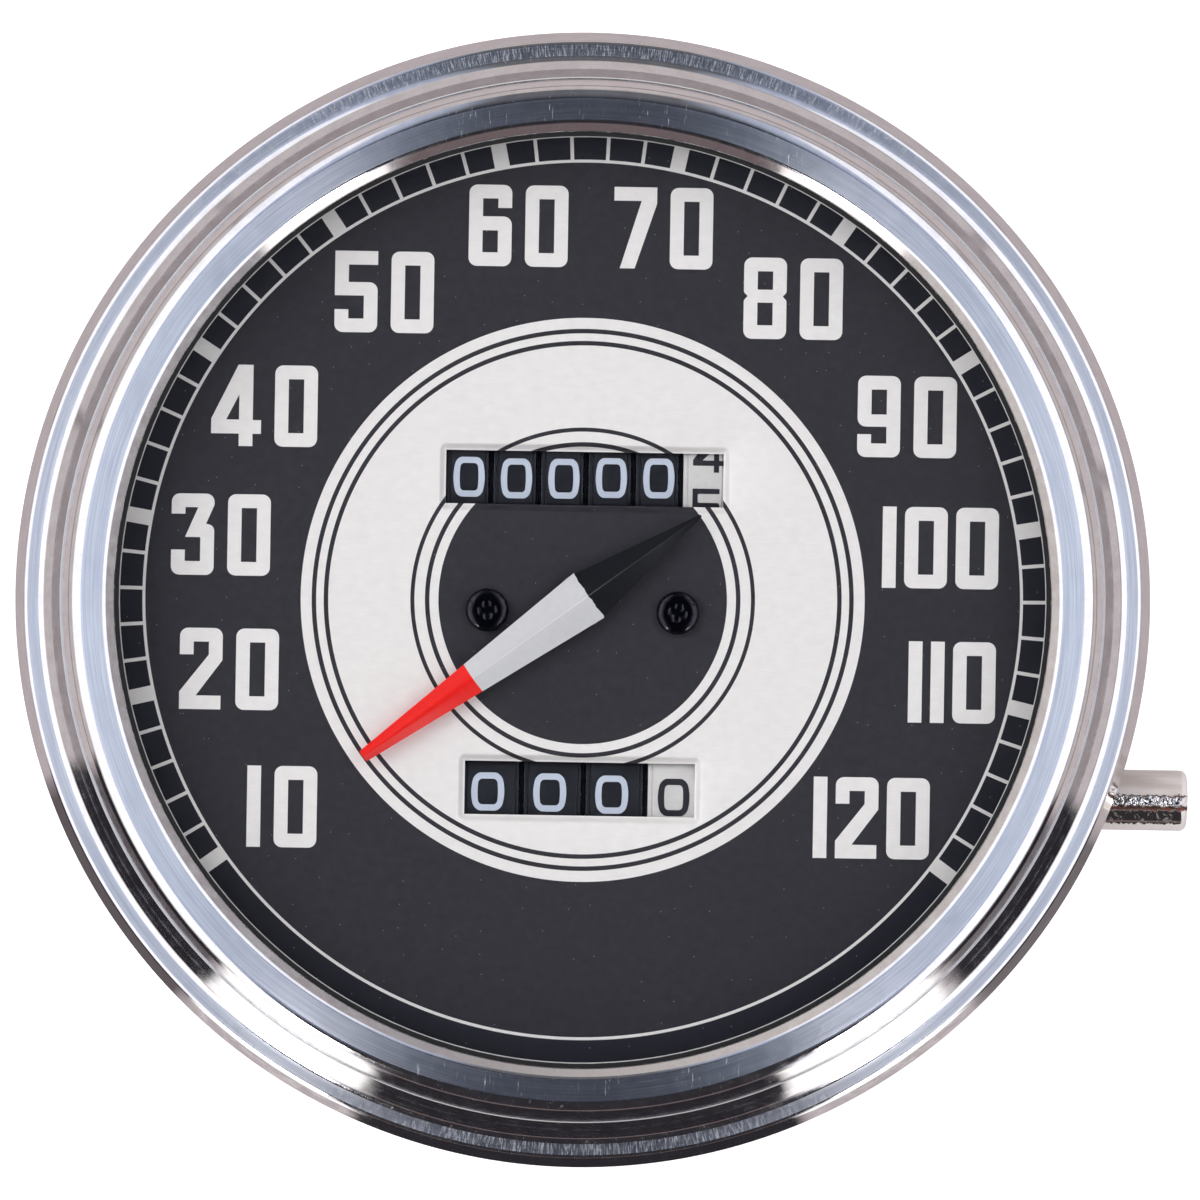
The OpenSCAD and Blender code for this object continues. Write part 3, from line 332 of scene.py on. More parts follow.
def bezel_profile(s):
    """Section of the rolled bezel as a closed outline of radius and height, hem, face and inner side."""
    t = s.sheet / MM
    foot_r, edge_r = s.foot_round / MM, s.edge_round / MM
    outer = np.array(
        [
            [63.5, 0, 0.35], [62.15, 4.4, edge_r], [60.2, 4.5, foot_r], [59.6, 5.23, 4.0], [59.0, 6.04, 4.0],
            [58.4, 7.04, 4.0], [57.98, 7.78, 0.03], [57.86, 7.88, 0.03], [56.4, 11, s.shoulder_round / MM],
            [52.95, 11, edge_r], [51.85, 9.9, 0.25], [51.65, 8.4, 0.15],
        ]
    )
    inner = moved_sideways(np.delete(outer, (3, 4, 5, 7), 0)[:, :2], t)
    foot = inner[0] + (inner[1] - inner[0]) * (t - inner[0, 1]) / (inner[1, 1] - inner[0, 1])
    inner_r = [0.15, 0.2, 1.3, 0.5, 0.6, 0.2, 0.15, 0.1]
    return np.concatenate(
        [[[59.9, 0, 0.2]], outer, np.column_stack([inner, inner_r])[:0:-1], [[*foot, 0.15], [59.9, t, 0.2]]]
    )


def scuffs(tree, place, amount):
    """Stray hairline scratches: two sets of fine noise drawn out 8 to 1, each cut to its peaks."""
    sets = []
    for number, (turn, size) in enumerate(((0.5, 0.24), (2.2, 0.32))):
        skew = {"Rotation": (0, 0, turn), "Scale": (1, 0.12, 1), "Location": (number, 0, 0)}
        skewed = add(tree, "Mapping", skew, {"Vector": place})
        fine = {"Scale": per_metre(size), "Detail": 2.0, "Roughness": 0.6, "Distortion": 0.8}
        lines = add(tree, "TexNoise", fine, {"Vector": skewed})
        patch = add(tree, "TexNoise", {"Scale": per_metre(5 + number * 4)}, {"Vector": place})
        peaks = add(tree, "MapRange", {**SMOOTH, "From Min": 0.66, "From Max": 0.72}, {"Value": lines})
        areas = add(tree, "MapRange", {**SMOOTH, "From Min": 0.4, "From Max": 0.6}, {"Value": patch})
        sets.append(add(tree, "Math", TIMES, {0: peaks, 1: areas}))
    found = add(tree, "Math", LARGER, dict(enumerate(sets)))
    return add(tree, "Math", {**TIMES, 1: amount}, {0: found})


def metal(tree, colour, roughness, dull, extra=None, links=None):
    """Principled metal: where dull is 1 its metallic share falls from 1 to 0.35 and its roughness rises."""
    share = add(tree, "MapRange", {"To Min": 1.0, "To Max": 0.35}, {"Value": dull})
    rise = {"operation": "MULTIPLY_ADD", 1: 0.3, "use_clamp": True}
    rough = add(tree, "Math", rise, {0: dull, 2: roughness})
    wired = {"Base Color": colour, "Metallic": share, "Roughness": rough, **(links or {})}
    add(tree, "OutputMaterial", None, {0: add(tree, "BsdfPrincipled", extra, wired)})


def polished_stainless():
    """Rolled stainless strip, buffed: mirror flanks with a faint haze, hairline scratches and dull specks."""
    material, tree, place = new_material("polished_stainless")
    haze = {"Scale": per_metre(2.2), "Detail": 6.0, "Roughness": 0.65}
    haze = add(tree, "TexNoise", haze, {"Vector": place})
    specks = add(tree, "TexNoise", {"Scale": per_metre(0.35), "Detail": 3.0}, {"Vector": place})
    hazy = add(tree, "MapRange", {**SMOOTH, "From Min": 0.35, "From Max": 0.65}, {"Value": haze})
    tone = add(tree, "Mix", {**COLOUR, LOW: linear("#D6D2D2"), HIGH: linear("#E0DDDC")}, {0: hazy})
    spread = {"From Min": 0.35, "From Max": 0.7, "To Min": 0.05, "To Max": 0.13}
    rough = add(tree, "MapRange", spread, {"Value": haze})
    spots = add(tree, "MapRange", {**SMOOTH, "From Min": 0.68, "From Max": 0.78}, {"Value": specks})
    faint = add(tree, "Math", {**TIMES, 1: 0.35}, {0: spots})
    dull = add(tree, "Math", LARGER, {0: scuffs(tree, place, 0.3), 1: faint})
    metal(tree, tone, rough, dull)
    return material


def ring_marks(tree, heading, radius, round_mm, across_mm):
    """Noise over heading and radius, with cells of the given size 54 mm out."""
    along = add(tree, "VectorMath", {"operation": "SCALE", "Scale": 54 / round_mm}, {0: heading})
    depth = add(tree, "Math", {**TIMES, 1: per_metre(across_mm)}, {0: radius})
    lift = add(tree, "CombineXYZ", None, {"Z": depth})
    spun = add(tree, "VectorMath", {"operation": "ADD"}, {0: along, 1: lift})
    return add(tree, "TexNoise", {"Scale": 1.0, "Detail": 4.0, "Roughness": 0.7}, {"Vector": spun})


def brushed_stainless():
    """The same strip where a pad ran round it: fine rings draw each reflection out across the band.

    Each ring mark is about 12 mm long, 54 mm out, and 0.1 mm wide; on the step, nicks 0.1 mm wide run across.
    """
    material, tree, place = new_material("brushed_stainless")
    flat = add(tree, "VectorMath", {**TIMES, 1: (1, 1, 0)}, {0: place})
    radius = add(tree, "VectorMath", {"operation": "LENGTH"}, {0: flat})
    heading = add(tree, "VectorMath", {"operation": "NORMALIZE"}, {0: flat})

    rings = ring_marks(tree, heading, radius, 12, 0.11)
    lit = add(tree, "MapRange", {**SMOOTH, "From Min": 0.3, "From Max": 0.7}, {"Value": rings})
    tone = add(tree, "Mix", {**COLOUR, LOW: linear("#CDD2DC"), HIGH: linear("#EEF1F8")}, {0: lit})
    cloud = {"Scale": per_metre(2.5), "Detail": 6.0, "Roughness": 0.65}
    cloud = add(tree, "TexNoise", cloud, {"Vector": place})
    spread = {"From Min": 0.3, "From Max": 0.7, "To Min": 0.34, "To Max": 0.42}
    rough = add(tree, "MapRange", spread, {"Value": cloud})

    step_from = {"From Min": 59.5 * MM, "From Max": 60.4 * MM}
    on_step = add(tree, "MapRange", {**SMOOTH, **step_from}, {"Value": radius})
    crossing = ring_marks(tree, heading, radius, 0.12, 1.2)
    nicks = add(tree, "MapRange", {**SMOOTH, "From Min": 0.47, "From Max": 0.66}, {"Value": crossing})
    cut = add(tree, "Math", TIMES, {0: nicks, 1: on_step})
    worn = add(tree, "Math", {**TIMES, 1: 0.62}, {0: cut})
    peaks = add(tree, "MapRange", {**SMOOTH, "From Min": 0.62, "From Max": 0.75}, {"Value": rings})
    bright = add(tree, "Math", {**TIMES, 1: 0.12}, {0: peaks})
    marks = add(tree, "Math", LARGER, {0: worn, 1: bright})
    dull = add(tree, "Math", LARGER, {0: marks, 1: scuffs(tree, place, 0.6)})

    bump = add(tree, "Bump", {"Strength": 0.5, "Distance": 0.003 * MM}, {"Height": rings})
    tangent = add(tree, "Tangent", {"direction_type": "RADIAL", "axis": "Z"})
    extra = {"Anisotropic": 0.95, "Anisotropic Rotation": 0.25}
    metal(tree, tone, rough, dull, extra, {"Normal": bump, "Tangent": tangent})
    return material


def sheared_edge():
    """The thin edge where the flank was turned over, left matt by the tool."""
    return worn_finish("sheared_edge", ("#C4C2C2", "#D2D0D0"), 0.0, (0.6, 0.7), 0.3, 0.0, 4.0)


class BezelSettings(bpy.types.PropertyGroup):
    """Sizes of the rolled bezel."""

    sheet: bpy.props.FloatProperty(
        name="Sheet", description="Thickness of the rolled strip", default=0.8 * MM, unit="LENGTH"
    )
    edge_round: bpy.props.FloatProperty(
        name="Edge round", description="Radius of step and band edges", default=0.7 * MM, unit="LENGTH"
    )
    foot_round: bpy.props.FloatProperty(
        name="Foot round", description="Hollow radius where the flank rises", default=1.6 * MM, unit="LENGTH"
    )
    shoulder_round: bpy.props.FloatProperty(
        name="Shoulder round", description="Radius between flank and band", default=2.0 * MM, unit="LENGTH"
    )
    segments: bpy.props.IntProperty(name="Segments", description="Steps round the bezel", default=256, min=64)


class SPEEDOMETER_OT_bezel(bpy.types.Operator):
    """Rolled bezel with hem, skirt, step, flank, band and lip"""

    bl_idname = "speedometer.bezel"
    bl_label = "Add bezel"

    def execute(self, context):
        s = context.scene.speedometer_bezel
        profile = rounded(bezel_profile(s), 8, 0.12)
        points = turned(profile, s.segments)
        faces = grid_faces(len(profile), s.segments, True, True)
        step = np.roll(profile, -1, 0) - profile
        level = np.abs(step[:, 1]) < BRUSHED_SLOPE * np.linalg.norm(step, axis=1)
        brushed = level & (profile[:, 1] > BRUSHED_ABOVE) & (step[:, 0] < 0)
        middle = (profile + np.roll(profile, -1, 0)) / 2
        sheared = (np.abs(middle - SHEARED_EDGE) < SHEARED_REACH).all(1)
        finish = np.where(sheared, 2, brushed)
        finish = np.repeat(finish, s.segments)
        finishes = [polished_stainless(), brushed_stainless(), sheared_edge()]
        make_piece("bezel", "dressed", "root", (points, [faces]), finishes, finish, 80)
        return {"FINISHED"}


# The dial face

FACE_Z = 2.4
BACK_Z = 1.6
UNDER_Z = 1.2
ODOMETER_WINDOW = (-15.45, 10.525, 15.45, 16.475)
TRIP_WINDOW = (-12.8, -24.025, 12.8, -18.075)
SLOPE_W = 0.85
SLOPE_H = 0.85
DIAL_R = 54.15
HOLE_R = 3.0
# radii in mm between which ink lies: rings from the rim to the hub, the figures' field, the band of the marks
RING_INK = ((51.75, DIAL_R), (28.31, 28.81), (29.65, 30.15), (18.72, 19.17), (17.05, 17.55), (0, 16.05))
FIELD = (31.37, 48.65)
TICK_BAND = (48.98, 51.47)
LABELS = {
    "10": (-33.08, -23.54),
    "20": (-39.2, -8.33),
    "30": (-40.36, 6.6),
    "40": (-35.74, 21.01),
    "50": (-22.62, 33.88),
    "60": (-7.82, 41.49),
    "70": (8.3, 41.48),
    "80": (22.87, 33.88),
    "90": (35.75, 20.94),
    "100": (39.7, 6.43),
    "110": (41.21, -8.51),
    "120": (32.5, -23.74),
}


def figure(digit, w, h, s, t, r, q=0.0):
    """Outlines of a squared figure: w wide, h high, upright stroke s, level stroke t, outer round r, inner q.

    The heights of its bars are shares of h, given for a figure 9.08 high.
    """
    a = w - s
    k = h / 9.08
    u = 0.97 * w
    b = 2.92 * k
    hole = [(s, t, q), (a, t, q), (a, h - t, q), (s, h - t, q)]
    box = [(0, 0, r), (w, 0, r), (w, h, r), (0, h, r)]
    low = [(s, t, q), (a, t, q), (a, 3.98 * k, q), (s, 3.98 * k, q)]
    high = [(s, 4.77 * k, q), (a, 4.77 * k, q), (a, h - t, q), (s, h - t, q)]
    shapes = {
        "0": [box, hole],
        "1": [[(0, 0, 0), (s, 0, 0), (s, h, 0), (0, h, 0)]],
        "2": [
            [
                (0, 6.1 * k, 0), (0, h, r), (w, h, r), (w, 5.5 * k, 0.3 * r), (1.2 * s, t, 0),
                (w - 0.1 * s, t, 0), (w - 0.1 * s, 0, 0), (0, 0, 0), (0, 1.95 * k, 0), (a, 6.1 * k, 0),
                (a, h - t, q), (s, h - t, q), (s, 6.1 * k, 0),
            ]
        ],
        "3": [
            [
                (0, 6.8 * k, 0), (0, h, r), (w, h, r), (w, 7.85 * k, 0.4 * r), (w - 0.6 * s, 5.72 * k, 0),
                (w, 5.55 * k, 0.8 * r), (w, 0, r), (0, 0, r), (0, 2.8 * k, 0), (s, 2.8 * k, 0), (s, t, q),
                (a, t, q), (a, 4.22 * k, q), (s, 4.22 * k, 0), (0.62 * w, h - t, 0), (s, h - t, q),
                (s, 6.8 * k, 0),
            ]
        ],
        "4": [
            [
                (0.62 * w, h, 0), (u, h, 0), (u, b, 0), (1.165 * w, b, 0), (1.165 * w, b - t, 0),
                (u, b - t, 0), (u, 0, 0), (u - s, 0, 0), (u - s, b - t, 0), (0, b - t, 0), (0, 3.03 * k, 0),
            ],
            [(u - s, 5.75 * k, 0), (u - s, 2.95 * k, 0), (0.35 * w, 2.95 * k, 0)],
        ],
        "5": [
            [
                (0, h, 0), (w, h, 0), (w, h - t, 0), (s, h - t, q), (s, 5.6 * k, q), (w, 5.6 * k, r),
                (w, 0, r), (0, 0, r), (0, 2.55 * k, 0), (s, 2.55 * k, 0), (s, t, q), (a, t, q),
                (a, 4.1 * k, q), (0, 4.1 * k, 0),
            ]
        ],
        "6": [
            [
                (0, 0, r), (0, h, r), (w, h, r), (w, 6.5 * k, 0), (a, 6.5 * k, 0), (a, h - t, q),
                (s, h - t, q), (s, 5.55 * k, q), (w, 5.55 * k, r), (w, 0, r),
            ],
            low,
        ],
        "7": [
            [
                (0, h, 0), (w, h, 0), (w, 7.25 * k, 0), (0.15 * w + s * 1.08, 0, 0), (0.15 * w, 0, 0),
                (0.64 * w, h - t, 0), (0, h - t, 0),
            ]
        ],
        "8": [
            [
                (0, h, r), (0, 5.2 * k, 0.5 * r), (0.09 * w, 4.76 * k, 0), (0, 4.3 * k, 0.5 * r), (0, 0, r),
                (w, 0, r), (w, 4.3 * k, 0.5 * r), (0.91 * w, 4.76 * k, 0), (w, 5.2 * k, 0.5 * r), (w, h, r),
            ],
            [(s, t, q), (a, t, q), (a, 4.05 * k, q), (s, 4.05 * k, q)],
            [(s, 5.5 * k, q), (a, 5.5 * k, q), (a, h - t, q), (s, h - t, q)],
        ],
        "9": [
            [
                (0, 2.55 * k, 0), (0, 0, r), (w, 0, r), (w, h, r), (0, h, r), (0, 3.4 * k, r),
                (a, 3.4 * k, q), (a, t, q), (s, t, q), (s, 2.55 * k, 0),
            ],
            high,
        ],
    }
    return [without_repeats(rounded(shape, 7)) for shape in shapes[digit]]


def label_outlines(s):
    """Outlines of every speed figure in its place, side by side with an even gap, centred on the label."""
    made = []
    for text, centre in LABELS.items():
        size = (s.figure_w / MM, s.figure_h / MM, s.stroke / MM, s.stroke / MM, s.figure_round / MM)
        figures = [figure(digit, *size) for digit in text]
        wide = [max(o[:, 0].max() for o in outlines) for outlines in figures]
        gap = 1.5 if len(text) == 2 else 0.94
        starts = np.cumsum([0] + [w + gap for w in wide[:-1]]) - (sum(wide) + gap * (len(wide) - 1)) / 2
        for outlines, start in zip(figures, starts):
            made += [o + [centre[0] + start, centre[1] - size[1] / 2] for o in outlines]
    return made


def tick_marks():
    """Rows of heading and half width: a mark every 2 from 10 to 120, wide at the tens."""
    speed = np.arange(10, 121, 2)
    heading = np.radians(216.05 - (speed - 10) * 2.292)
    return heading, np.where(speed % 10 == 0, 0.85, 0.2)


def beyond(window, places):
    """How far places lie outside a window: the length of the part of each outside its box."""
    low = np.array(window[:2]) - places
    high = places - np.array(window[2:])
    return np.linalg.norm(np.maximum(np.maximum(low, high), 0), axis=1)


def face_height(places):
    """The face dips by SLOPE_H round each window, as 1 - (3 u^2 - 2 u^3), u the distance over SLOPE_W."""
    near = np.minimum(beyond(ODOMETER_WINDOW, places), beyond(TRIP_WINDOW, places))
    u = np.clip(near / SLOPE_W, 0, 1)
    return FACE_Z - SLOPE_H * (1 - (3 * u**2 - 2 * u**3))


def window_rings(window):
    """The window's edge and its outlines grown by set distances, for the pressed slope."""
    x1, y1, x2, y2 = window
    corners = np.array([[x1, y1], [x2, y1], [x2, y2], [x1, y2]])
    rings = [corners]
    for grown in np.array([0.06, 0.2, 0.38, 0.55, 0.72, 0.88, 1.0]) * SLOPE_W:
        out = corners + np.array([[-1, -1], [1, -1], [1, 1], [-1, 1]]) * grown
        rings.append(rounded(np.column_stack([out, np.full(4, grown)]), 7))
    return rings


def dial_aluminium():
    """Aluminium sheet, brushed sideways and lacquered: pale, with short level streaks and a soft sheen."""
    tones = ("#F0ECEC", "#FAF7F6")
    return worn_finish("dial_aluminium", tones, 0.15, (0.45, 0.55), 0.16, 0.0015, 1.2, (0.1, 1, 1))


def dial_ink(s):
    """Screen-printed satin ink: blue-black, darker from the band of the marks outward, faintly mottled, with
    pale dust.
    """
    material, tree, place = new_material("dial_ink")
    mottle = {"Scale": per_metre(1.2), "Detail": 5.0, "Roughness": 0.65}
    mottle = add(tree, "TexNoise", mottle, {"Vector": place})
    tone = add(tree, "ValToRGB", {"stops": ((0.3, s.ink_dark), (0.7, s.ink_light))}, {"Fac": mottle})
    flat = add(tree, "VectorMath", {**TIMES, 1: (1, 1, 0)}, {0: place})
    radius = add(tree, "VectorMath", {"operation": "LENGTH"}, {0: flat})
    scale_from = (FIELD[1] + TICK_BAND[0]) / 2 * MM
    rim = add(tree, "Math", {"operation": "GREATER_THAN", 1: scale_from}, {0: radius})
    darker = add(tree, "Mix", {**COLOUR, HIGH: s.outer_band_tone}, {0: rim, LOW: tone})

    cells = {"voronoi_dimensions": "2D", "Scale": per_metre(2.6)}
    cells = add(tree, "TexVoronoi", cells, {"Vector": place})
    spot = add(tree, "Math", {"operation": "LESS_THAN", 1: 0.02}, {0: cells})
    some = add(tree, "Math", {"operation": "GREATER_THAN", 1: 0.6}, {0: cells.outputs["Color"]})
    dust = add(tree, "Math", TIMES, {0: spot, 1: some})
    dusty = add(tree, "Mix", {**COLOUR, HIGH: linear("#8A8A92")}, {0: dust, LOW: darker})
    bump = add(tree, "Bump", {"Strength": 0.3, "Distance": 0.002 * MM}, {"Height": mottle})
    satin = {"Roughness": 0.5, "Specular IOR Level": 0.3}
    shader = add(tree, "BsdfPrincipled", satin, {"Base Color": dusty, "Normal": bump})
    add(tree, "OutputMaterial", None, {0: shader})
    return material


class DialSettings(bpy.types.PropertyGroup):
    """Sizes of the printed figures and tones of the ink."""

    ink_dark: colour_setting("Ink, dark", "Darker tone of the printed ink", "#2A292E")
    ink_light: colour_setting("Ink, light", "Lighter tone of the printed ink", "#333238")
    outer_band_tone: colour_setting("Outer band tone", "Tone of the ink under the scale", "#22222A")
    figure_w: bpy.props.FloatProperty(
        name="Figure width", description="Width of a speed figure", default=4.76 * MM, unit="LENGTH"
    )
    figure_h: bpy.props.FloatProperty(
        name="Figure height", description="Height of a speed figure", default=9.05 * MM, unit="LENGTH"
    )
    stroke: bpy.props.FloatProperty(
        name="Stroke", description="Width of the figures' strokes", default=1.53 * MM, unit="LENGTH"
    )
    figure_round: bpy.props.FloatProperty(
        name="Figure round", description="Radius of a figure's corners", default=0.92 * MM, unit="LENGTH"
    )


def dial_plate(s):
    """The plate as points and blocks of faces, and 1 for each face with ink on it.

    Ink lies between the radii of RING_INK, on the field beside the figures, and on the tick band beside its
    marks. The underside dips less than the face, so that the wheels stay clear of it.
    """
    labels = label_outlines(s)
    rims = [*RING_INK[0][::-1], *TICK_BAND, *FIELD]
    rings = [r for pair in RING_INK[1:] for r in pair if r > 0] + [HOLE_R]
    outlines = [circle(r, 360) for r in rims] + [circle(r, 200) for r in rings] + labels
    outlines += window_rings(ODOMETER_WINDOW) + window_rings(TRIP_WINDOW)
    heading, half = tick_marks()
    along = np.stack([np.cos(heading), np.sin(heading)], 1)
    across = np.stack([-np.sin(heading), np.cos(heading)], 1)
    ends = np.array([TICK_BAND[0] - 0.02, TICK_BAND[1] + 0.02])
    middles = along[:, None] * ends[None, :, None]
    cuts = [middles + across[:, None] * (side * half)[:, None, None] for side in (-1, 1)]
    points, triangles = partition(outlines, np.concatenate(cuts))

    middle = points[triangles].mean(1)
    radius = np.linalg.norm(middle, axis=1)
    solid = (beyond(ODOMETER_WINDOW, middle) > 0) & (beyond(TRIP_WINDOW, middle) > 0)
    kept = solid & (radius > HOLE_R) & (radius < DIAL_R)
    triangles, middle, radius = triangles[kept], middle[kept], radius[kept]
    ink = (radius > FIELD[0]) & (radius < FIELD[1]) & ~inside(middle, labels)
    for low, high in RING_INK:
        ink |= (radius > low) & (radius < high)
    marks = (np.abs(middle @ across.T) < half) & (middle @ along.T > 0)
    ink |= (radius > TICK_BAND[0]) & (radius < TICK_BAND[1]) & ~marks.any(1)

    top = face_height(points)
    under = np.maximum(top - (FACE_Z - BACK_Z), UNDER_Z)
    shape = thickened(np.column_stack([points, top]), np.column_stack([points, under]), triangles)
    plain = sum(len(block) for block in shape[1][1:])
    return shape, np.concatenate([ink.astype(int), np.zeros(plain, int)])


class SPEEDOMETER_OT_dial(bpy.types.Operator):
    """Brushed dial plate with its pressed windows, printed scale, figures and rings"""

    bl_idname = "speedometer.dial"
    bl_label = "Add dial"

    def execute(self, context):
        s = context.scene.speedometer_dial
        shape, ink = dial_plate(s)
        make_piece("dial", "printed", "root", shape, [dial_aluminium(), dial_ink(s)], ink, 40)
        return {"FINISHED"}


# The number wheels

WHEEL_R = 9.5
AXLE_Z = -8.2
# figure width, height, stroke, corner as a share of the width, and how far the wheel has crept up, in mm
ODOMETER_FIGURES = (
    (3.45, 4.46, 0.69, 0.2, 0.0),
    (3.45, 4.46, 0.69, 0.2, -0.1),
    (3.45, 4.46, 0.69, 0.2, -0.05),
    (3.45, 4.46, 0.69, 0.2, 0.12),
    (3.45, 4.46, 0.69, 0.2, 0.16),
    (3.0, 4.16, 0.58, 0.1, 0.0),
)
TRIP_FIGURES = (
    (3.65, 4.27, 0.7, 0.22, 0.0),
    (3.65, 4.27, 0.7, 0.22, 0.0),
    (3.65, 4.27, 0.7, 0.22, -0.13),
    (3.5, 4.2, 0.7, 0.22, -0.34),
)
# each counter: its wheels' shift along the axle, their width, the axle's y, the figures' shift on a wheel
COUNTERS = {
    "odometer": (0.13, 4.69, 13.5, 0.2, ODOMETER_FIGURES),
    "trip": (0.4, 6.31, -21.5, -0.26, TRIP_FIGURES),
}


def wheel_section(width):
    """Half-section of a number wheel: rim with rounded edges and a fine line near each side, web and hub."""
    w = width / 2
    rim = [
        (2.0, -w, 0.05), (3.0, -w, 0.1), (3.0, -0.5, 0.2), (8.3, -0.5, 0.3), (8.3, -w, 0.1), (9.42, -w, 0.1),
        (9.42, -w + 0.42, 0.02), (9.34, -w + 0.46, 0.02), (9.34, -w + 0.54, 0.02), (9.5, -w + 0.6, 0.04),
        (9.5, w - 0.42, 0.05), (9.34, w - 0.36, 0.02), (9.34, w - 0.28, 0.02), (9.44, w - 0.24, 0.03),
        (9.44, w, 0.08), (8.3, w, 0.1), (8.3, 0.5, 0.3), (3.0, 0.5, 0.2), (3.0, w, 0.1), (2.0, w, 0.05),
    ]
    return rounded(rim, 4)


def denser(outline, step):
    """Closed outline with points added along each edge, none more than step apart."""
    edge = np.roll(outline, -1, 0) - outline
    count = np.ceil(np.linalg.norm(edge, axis=1) / step).astype(int)
    owner = np.repeat(np.arange(len(outline)), count)
    share = (np.arange(count.sum()) - np.repeat(np.cumsum(count) - count, count)) / count[owner]
    return outline[owner] + edge[owner] * share[:, None]


def barrel(outline, w, h):
    """Bulges an outline's sides: x times 1.01 - 0.24 v^2 about the middle, v from -1 to 1 up the height."""
    x, y = denser(outline, 0.2).T
    v = y / h * 2 - 1
    return np.column_stack([(x - w / 2) * (1.01 - 0.24 * v**2) + w / 2, y])


def wheel_figures(centre, w, h, stroke, corner, turned_by):
    """Ten raised figures wrapped on a wheel.

    A flat point (x, y) of figure d goes to angle 90 degrees + 36 d - turn + y / R about the axle and to
    centre + x along it, 0.03 mm above the rim and 0.02 mm into it.
    """
    parts = []
    for digit in "0123456789":
        outlines = figure(digit, w, h, stroke, stroke, corner * w, corner * w * 0.55)
        if digit == "0":
            outlines = [barrel(o, w, h) for o in outlines]
        wide = max(o[:, 0].max() for o in outlines)
        levels = np.arange(0.15, h, 0.36)
        cuts = [np.array([[-0.2, level], [wide + 0.2, level]]) for level in levels]
        flat, triangles = filled(outlines, cuts)
        angle = math.pi / 2 - math.radians(36 * int(digit) - turned_by) + (flat[:, 1] - h / 2) / WHEEL_R
        x = centre + flat[:, 0] - (stroke if digit == "1" else w) / 2
        layers = [
            np.column_stack([x, -np.cos(angle) * (WHEEL_R + lift), np.sin(angle) * (WHEEL_R + lift)])
            for lift in (0.03, -0.02)
        ]
        parts.append(thickened(layers[0], layers[1], triangles))
    return joined(parts)


class WheelSettings(bpy.types.PropertyGroup):
    """What the two counters read, and the tones of their wheels."""

    tenths: bpy.props.FloatProperty(
        name="Tenths", description="What the white mileage wheel reads", default=4.5
    )
    odometer_pitch: bpy.props.FloatProperty(
        name="Mileage pitch", description="Distance between mileage wheels", default=5.28 * MM, unit="LENGTH"
    )
    trip_pitch: bpy.props.FloatProperty(
        name="Trip pitch", description="Distance between trip wheels", default=6.9 * MM, unit="LENGTH"
    )
    black_dark: colour_setting("Black, dark", "Darker tone of the black wheels", "#101116")
    black_light: colour_setting("Black, light", "Lighter tone of the black wheels", "#1A1B23")
    white_dark: colour_setting("White, dark", "Darker tone of the white wheels", "#CBC9CA")
    white_light: colour_setting("White, light", "Lighter tone of the white wheels", "#D9D8D9")
    pale_dark: colour_setting("Pale paint, dark", "Darker tone of the figures on black", "#BCC6DA")
    pale_light: colour_setting("Pale paint, light", "Lighter tone of the figures on black", "#C8D2E3")
    paint_dark: colour_setting("Black paint, dark", "Darker tone of the figures on white", "#17161C")
    paint_light: colour_setting("Black paint, light", "Lighter tone of the figures on white", "#23222A")


def wheel_finishes(s):
    """Moulded acetal in black and white, faintly satin, with its figures printed in matt paint."""
    coal = (s.black_dark, s.black_light)
    chalk = (s.white_dark, s.white_light)
    black = worn_finish("black_wheel_acetal", coal, 0.0, (0.32, 0.45), 0.5, 0.003, 2.5, (0.2, 1, 1))
    white = worn_finish("white_wheel_acetal", chalk, 0.0, (0.35, 0.5), 0.6, 0.002, 3.0)
    pale = worn_finish("pale_figure_paint", (s.pale_dark, s.pale_light), 0.0, (0.45, 0.6), 0.3, 0.002, 2.0)
    dark = worn_finish("dark_figure_paint", (s.paint_dark, s.paint_light), 0.0, (0.4, 0.55), 0.3, 0.002, 2.0)
    return {"black_wheel": [black, pale], "white_wheel": [white, dark]}


class SPEEDOMETER_OT_wheels(bpy.types.Operator):
    """Number wheels of both counters with their raised figures"""

    bl_idname = "speedometer.wheels"
    bl_label = "Add number wheels"

    def execute(self, context):
        s = context.scene.speedometer_wheels
        finishes = wheel_finishes(s)
        for group, (shift, width, y, aside, figures) in COUNTERS.items():
            pitch = getattr(s, f"{group}_pitch") / MM
            section = wheel_section(width)
            for number, (w, h, stroke, corner, rise) in enumerate(figures, 1):
                last = number == len(figures)
                centre = shift + (number - (len(figures) + 1) / 2) * pitch
                faces = grid_faces(len(section), 120, True, True)
                wheel = (turned(section, 120, "x") + [centre, 0, 0], [faces])
                read = 36 * s.tenths if last and group == "odometer" else 0.0
                tilt = math.degrees(rise / WHEEL_R) + read
                digits = wheel_figures(centre + aside, w, h, stroke, corner, tilt)
                points, blocks = joined([wheel, digits])
                shape = (points + [0, y, AXLE_Z], blocks)
                printed = np.concatenate([np.full(len(block), at > 0) for at, block in enumerate(blocks)])
                slot = "white_wheel" if last else "black_wheel"
                node = f"{group}_wheel_{number}"
                make_piece(node, "dressed", f"{group}_{number}", shape, finishes[slot], printed, 30)
        return {"FINISHED"}


# The pointer


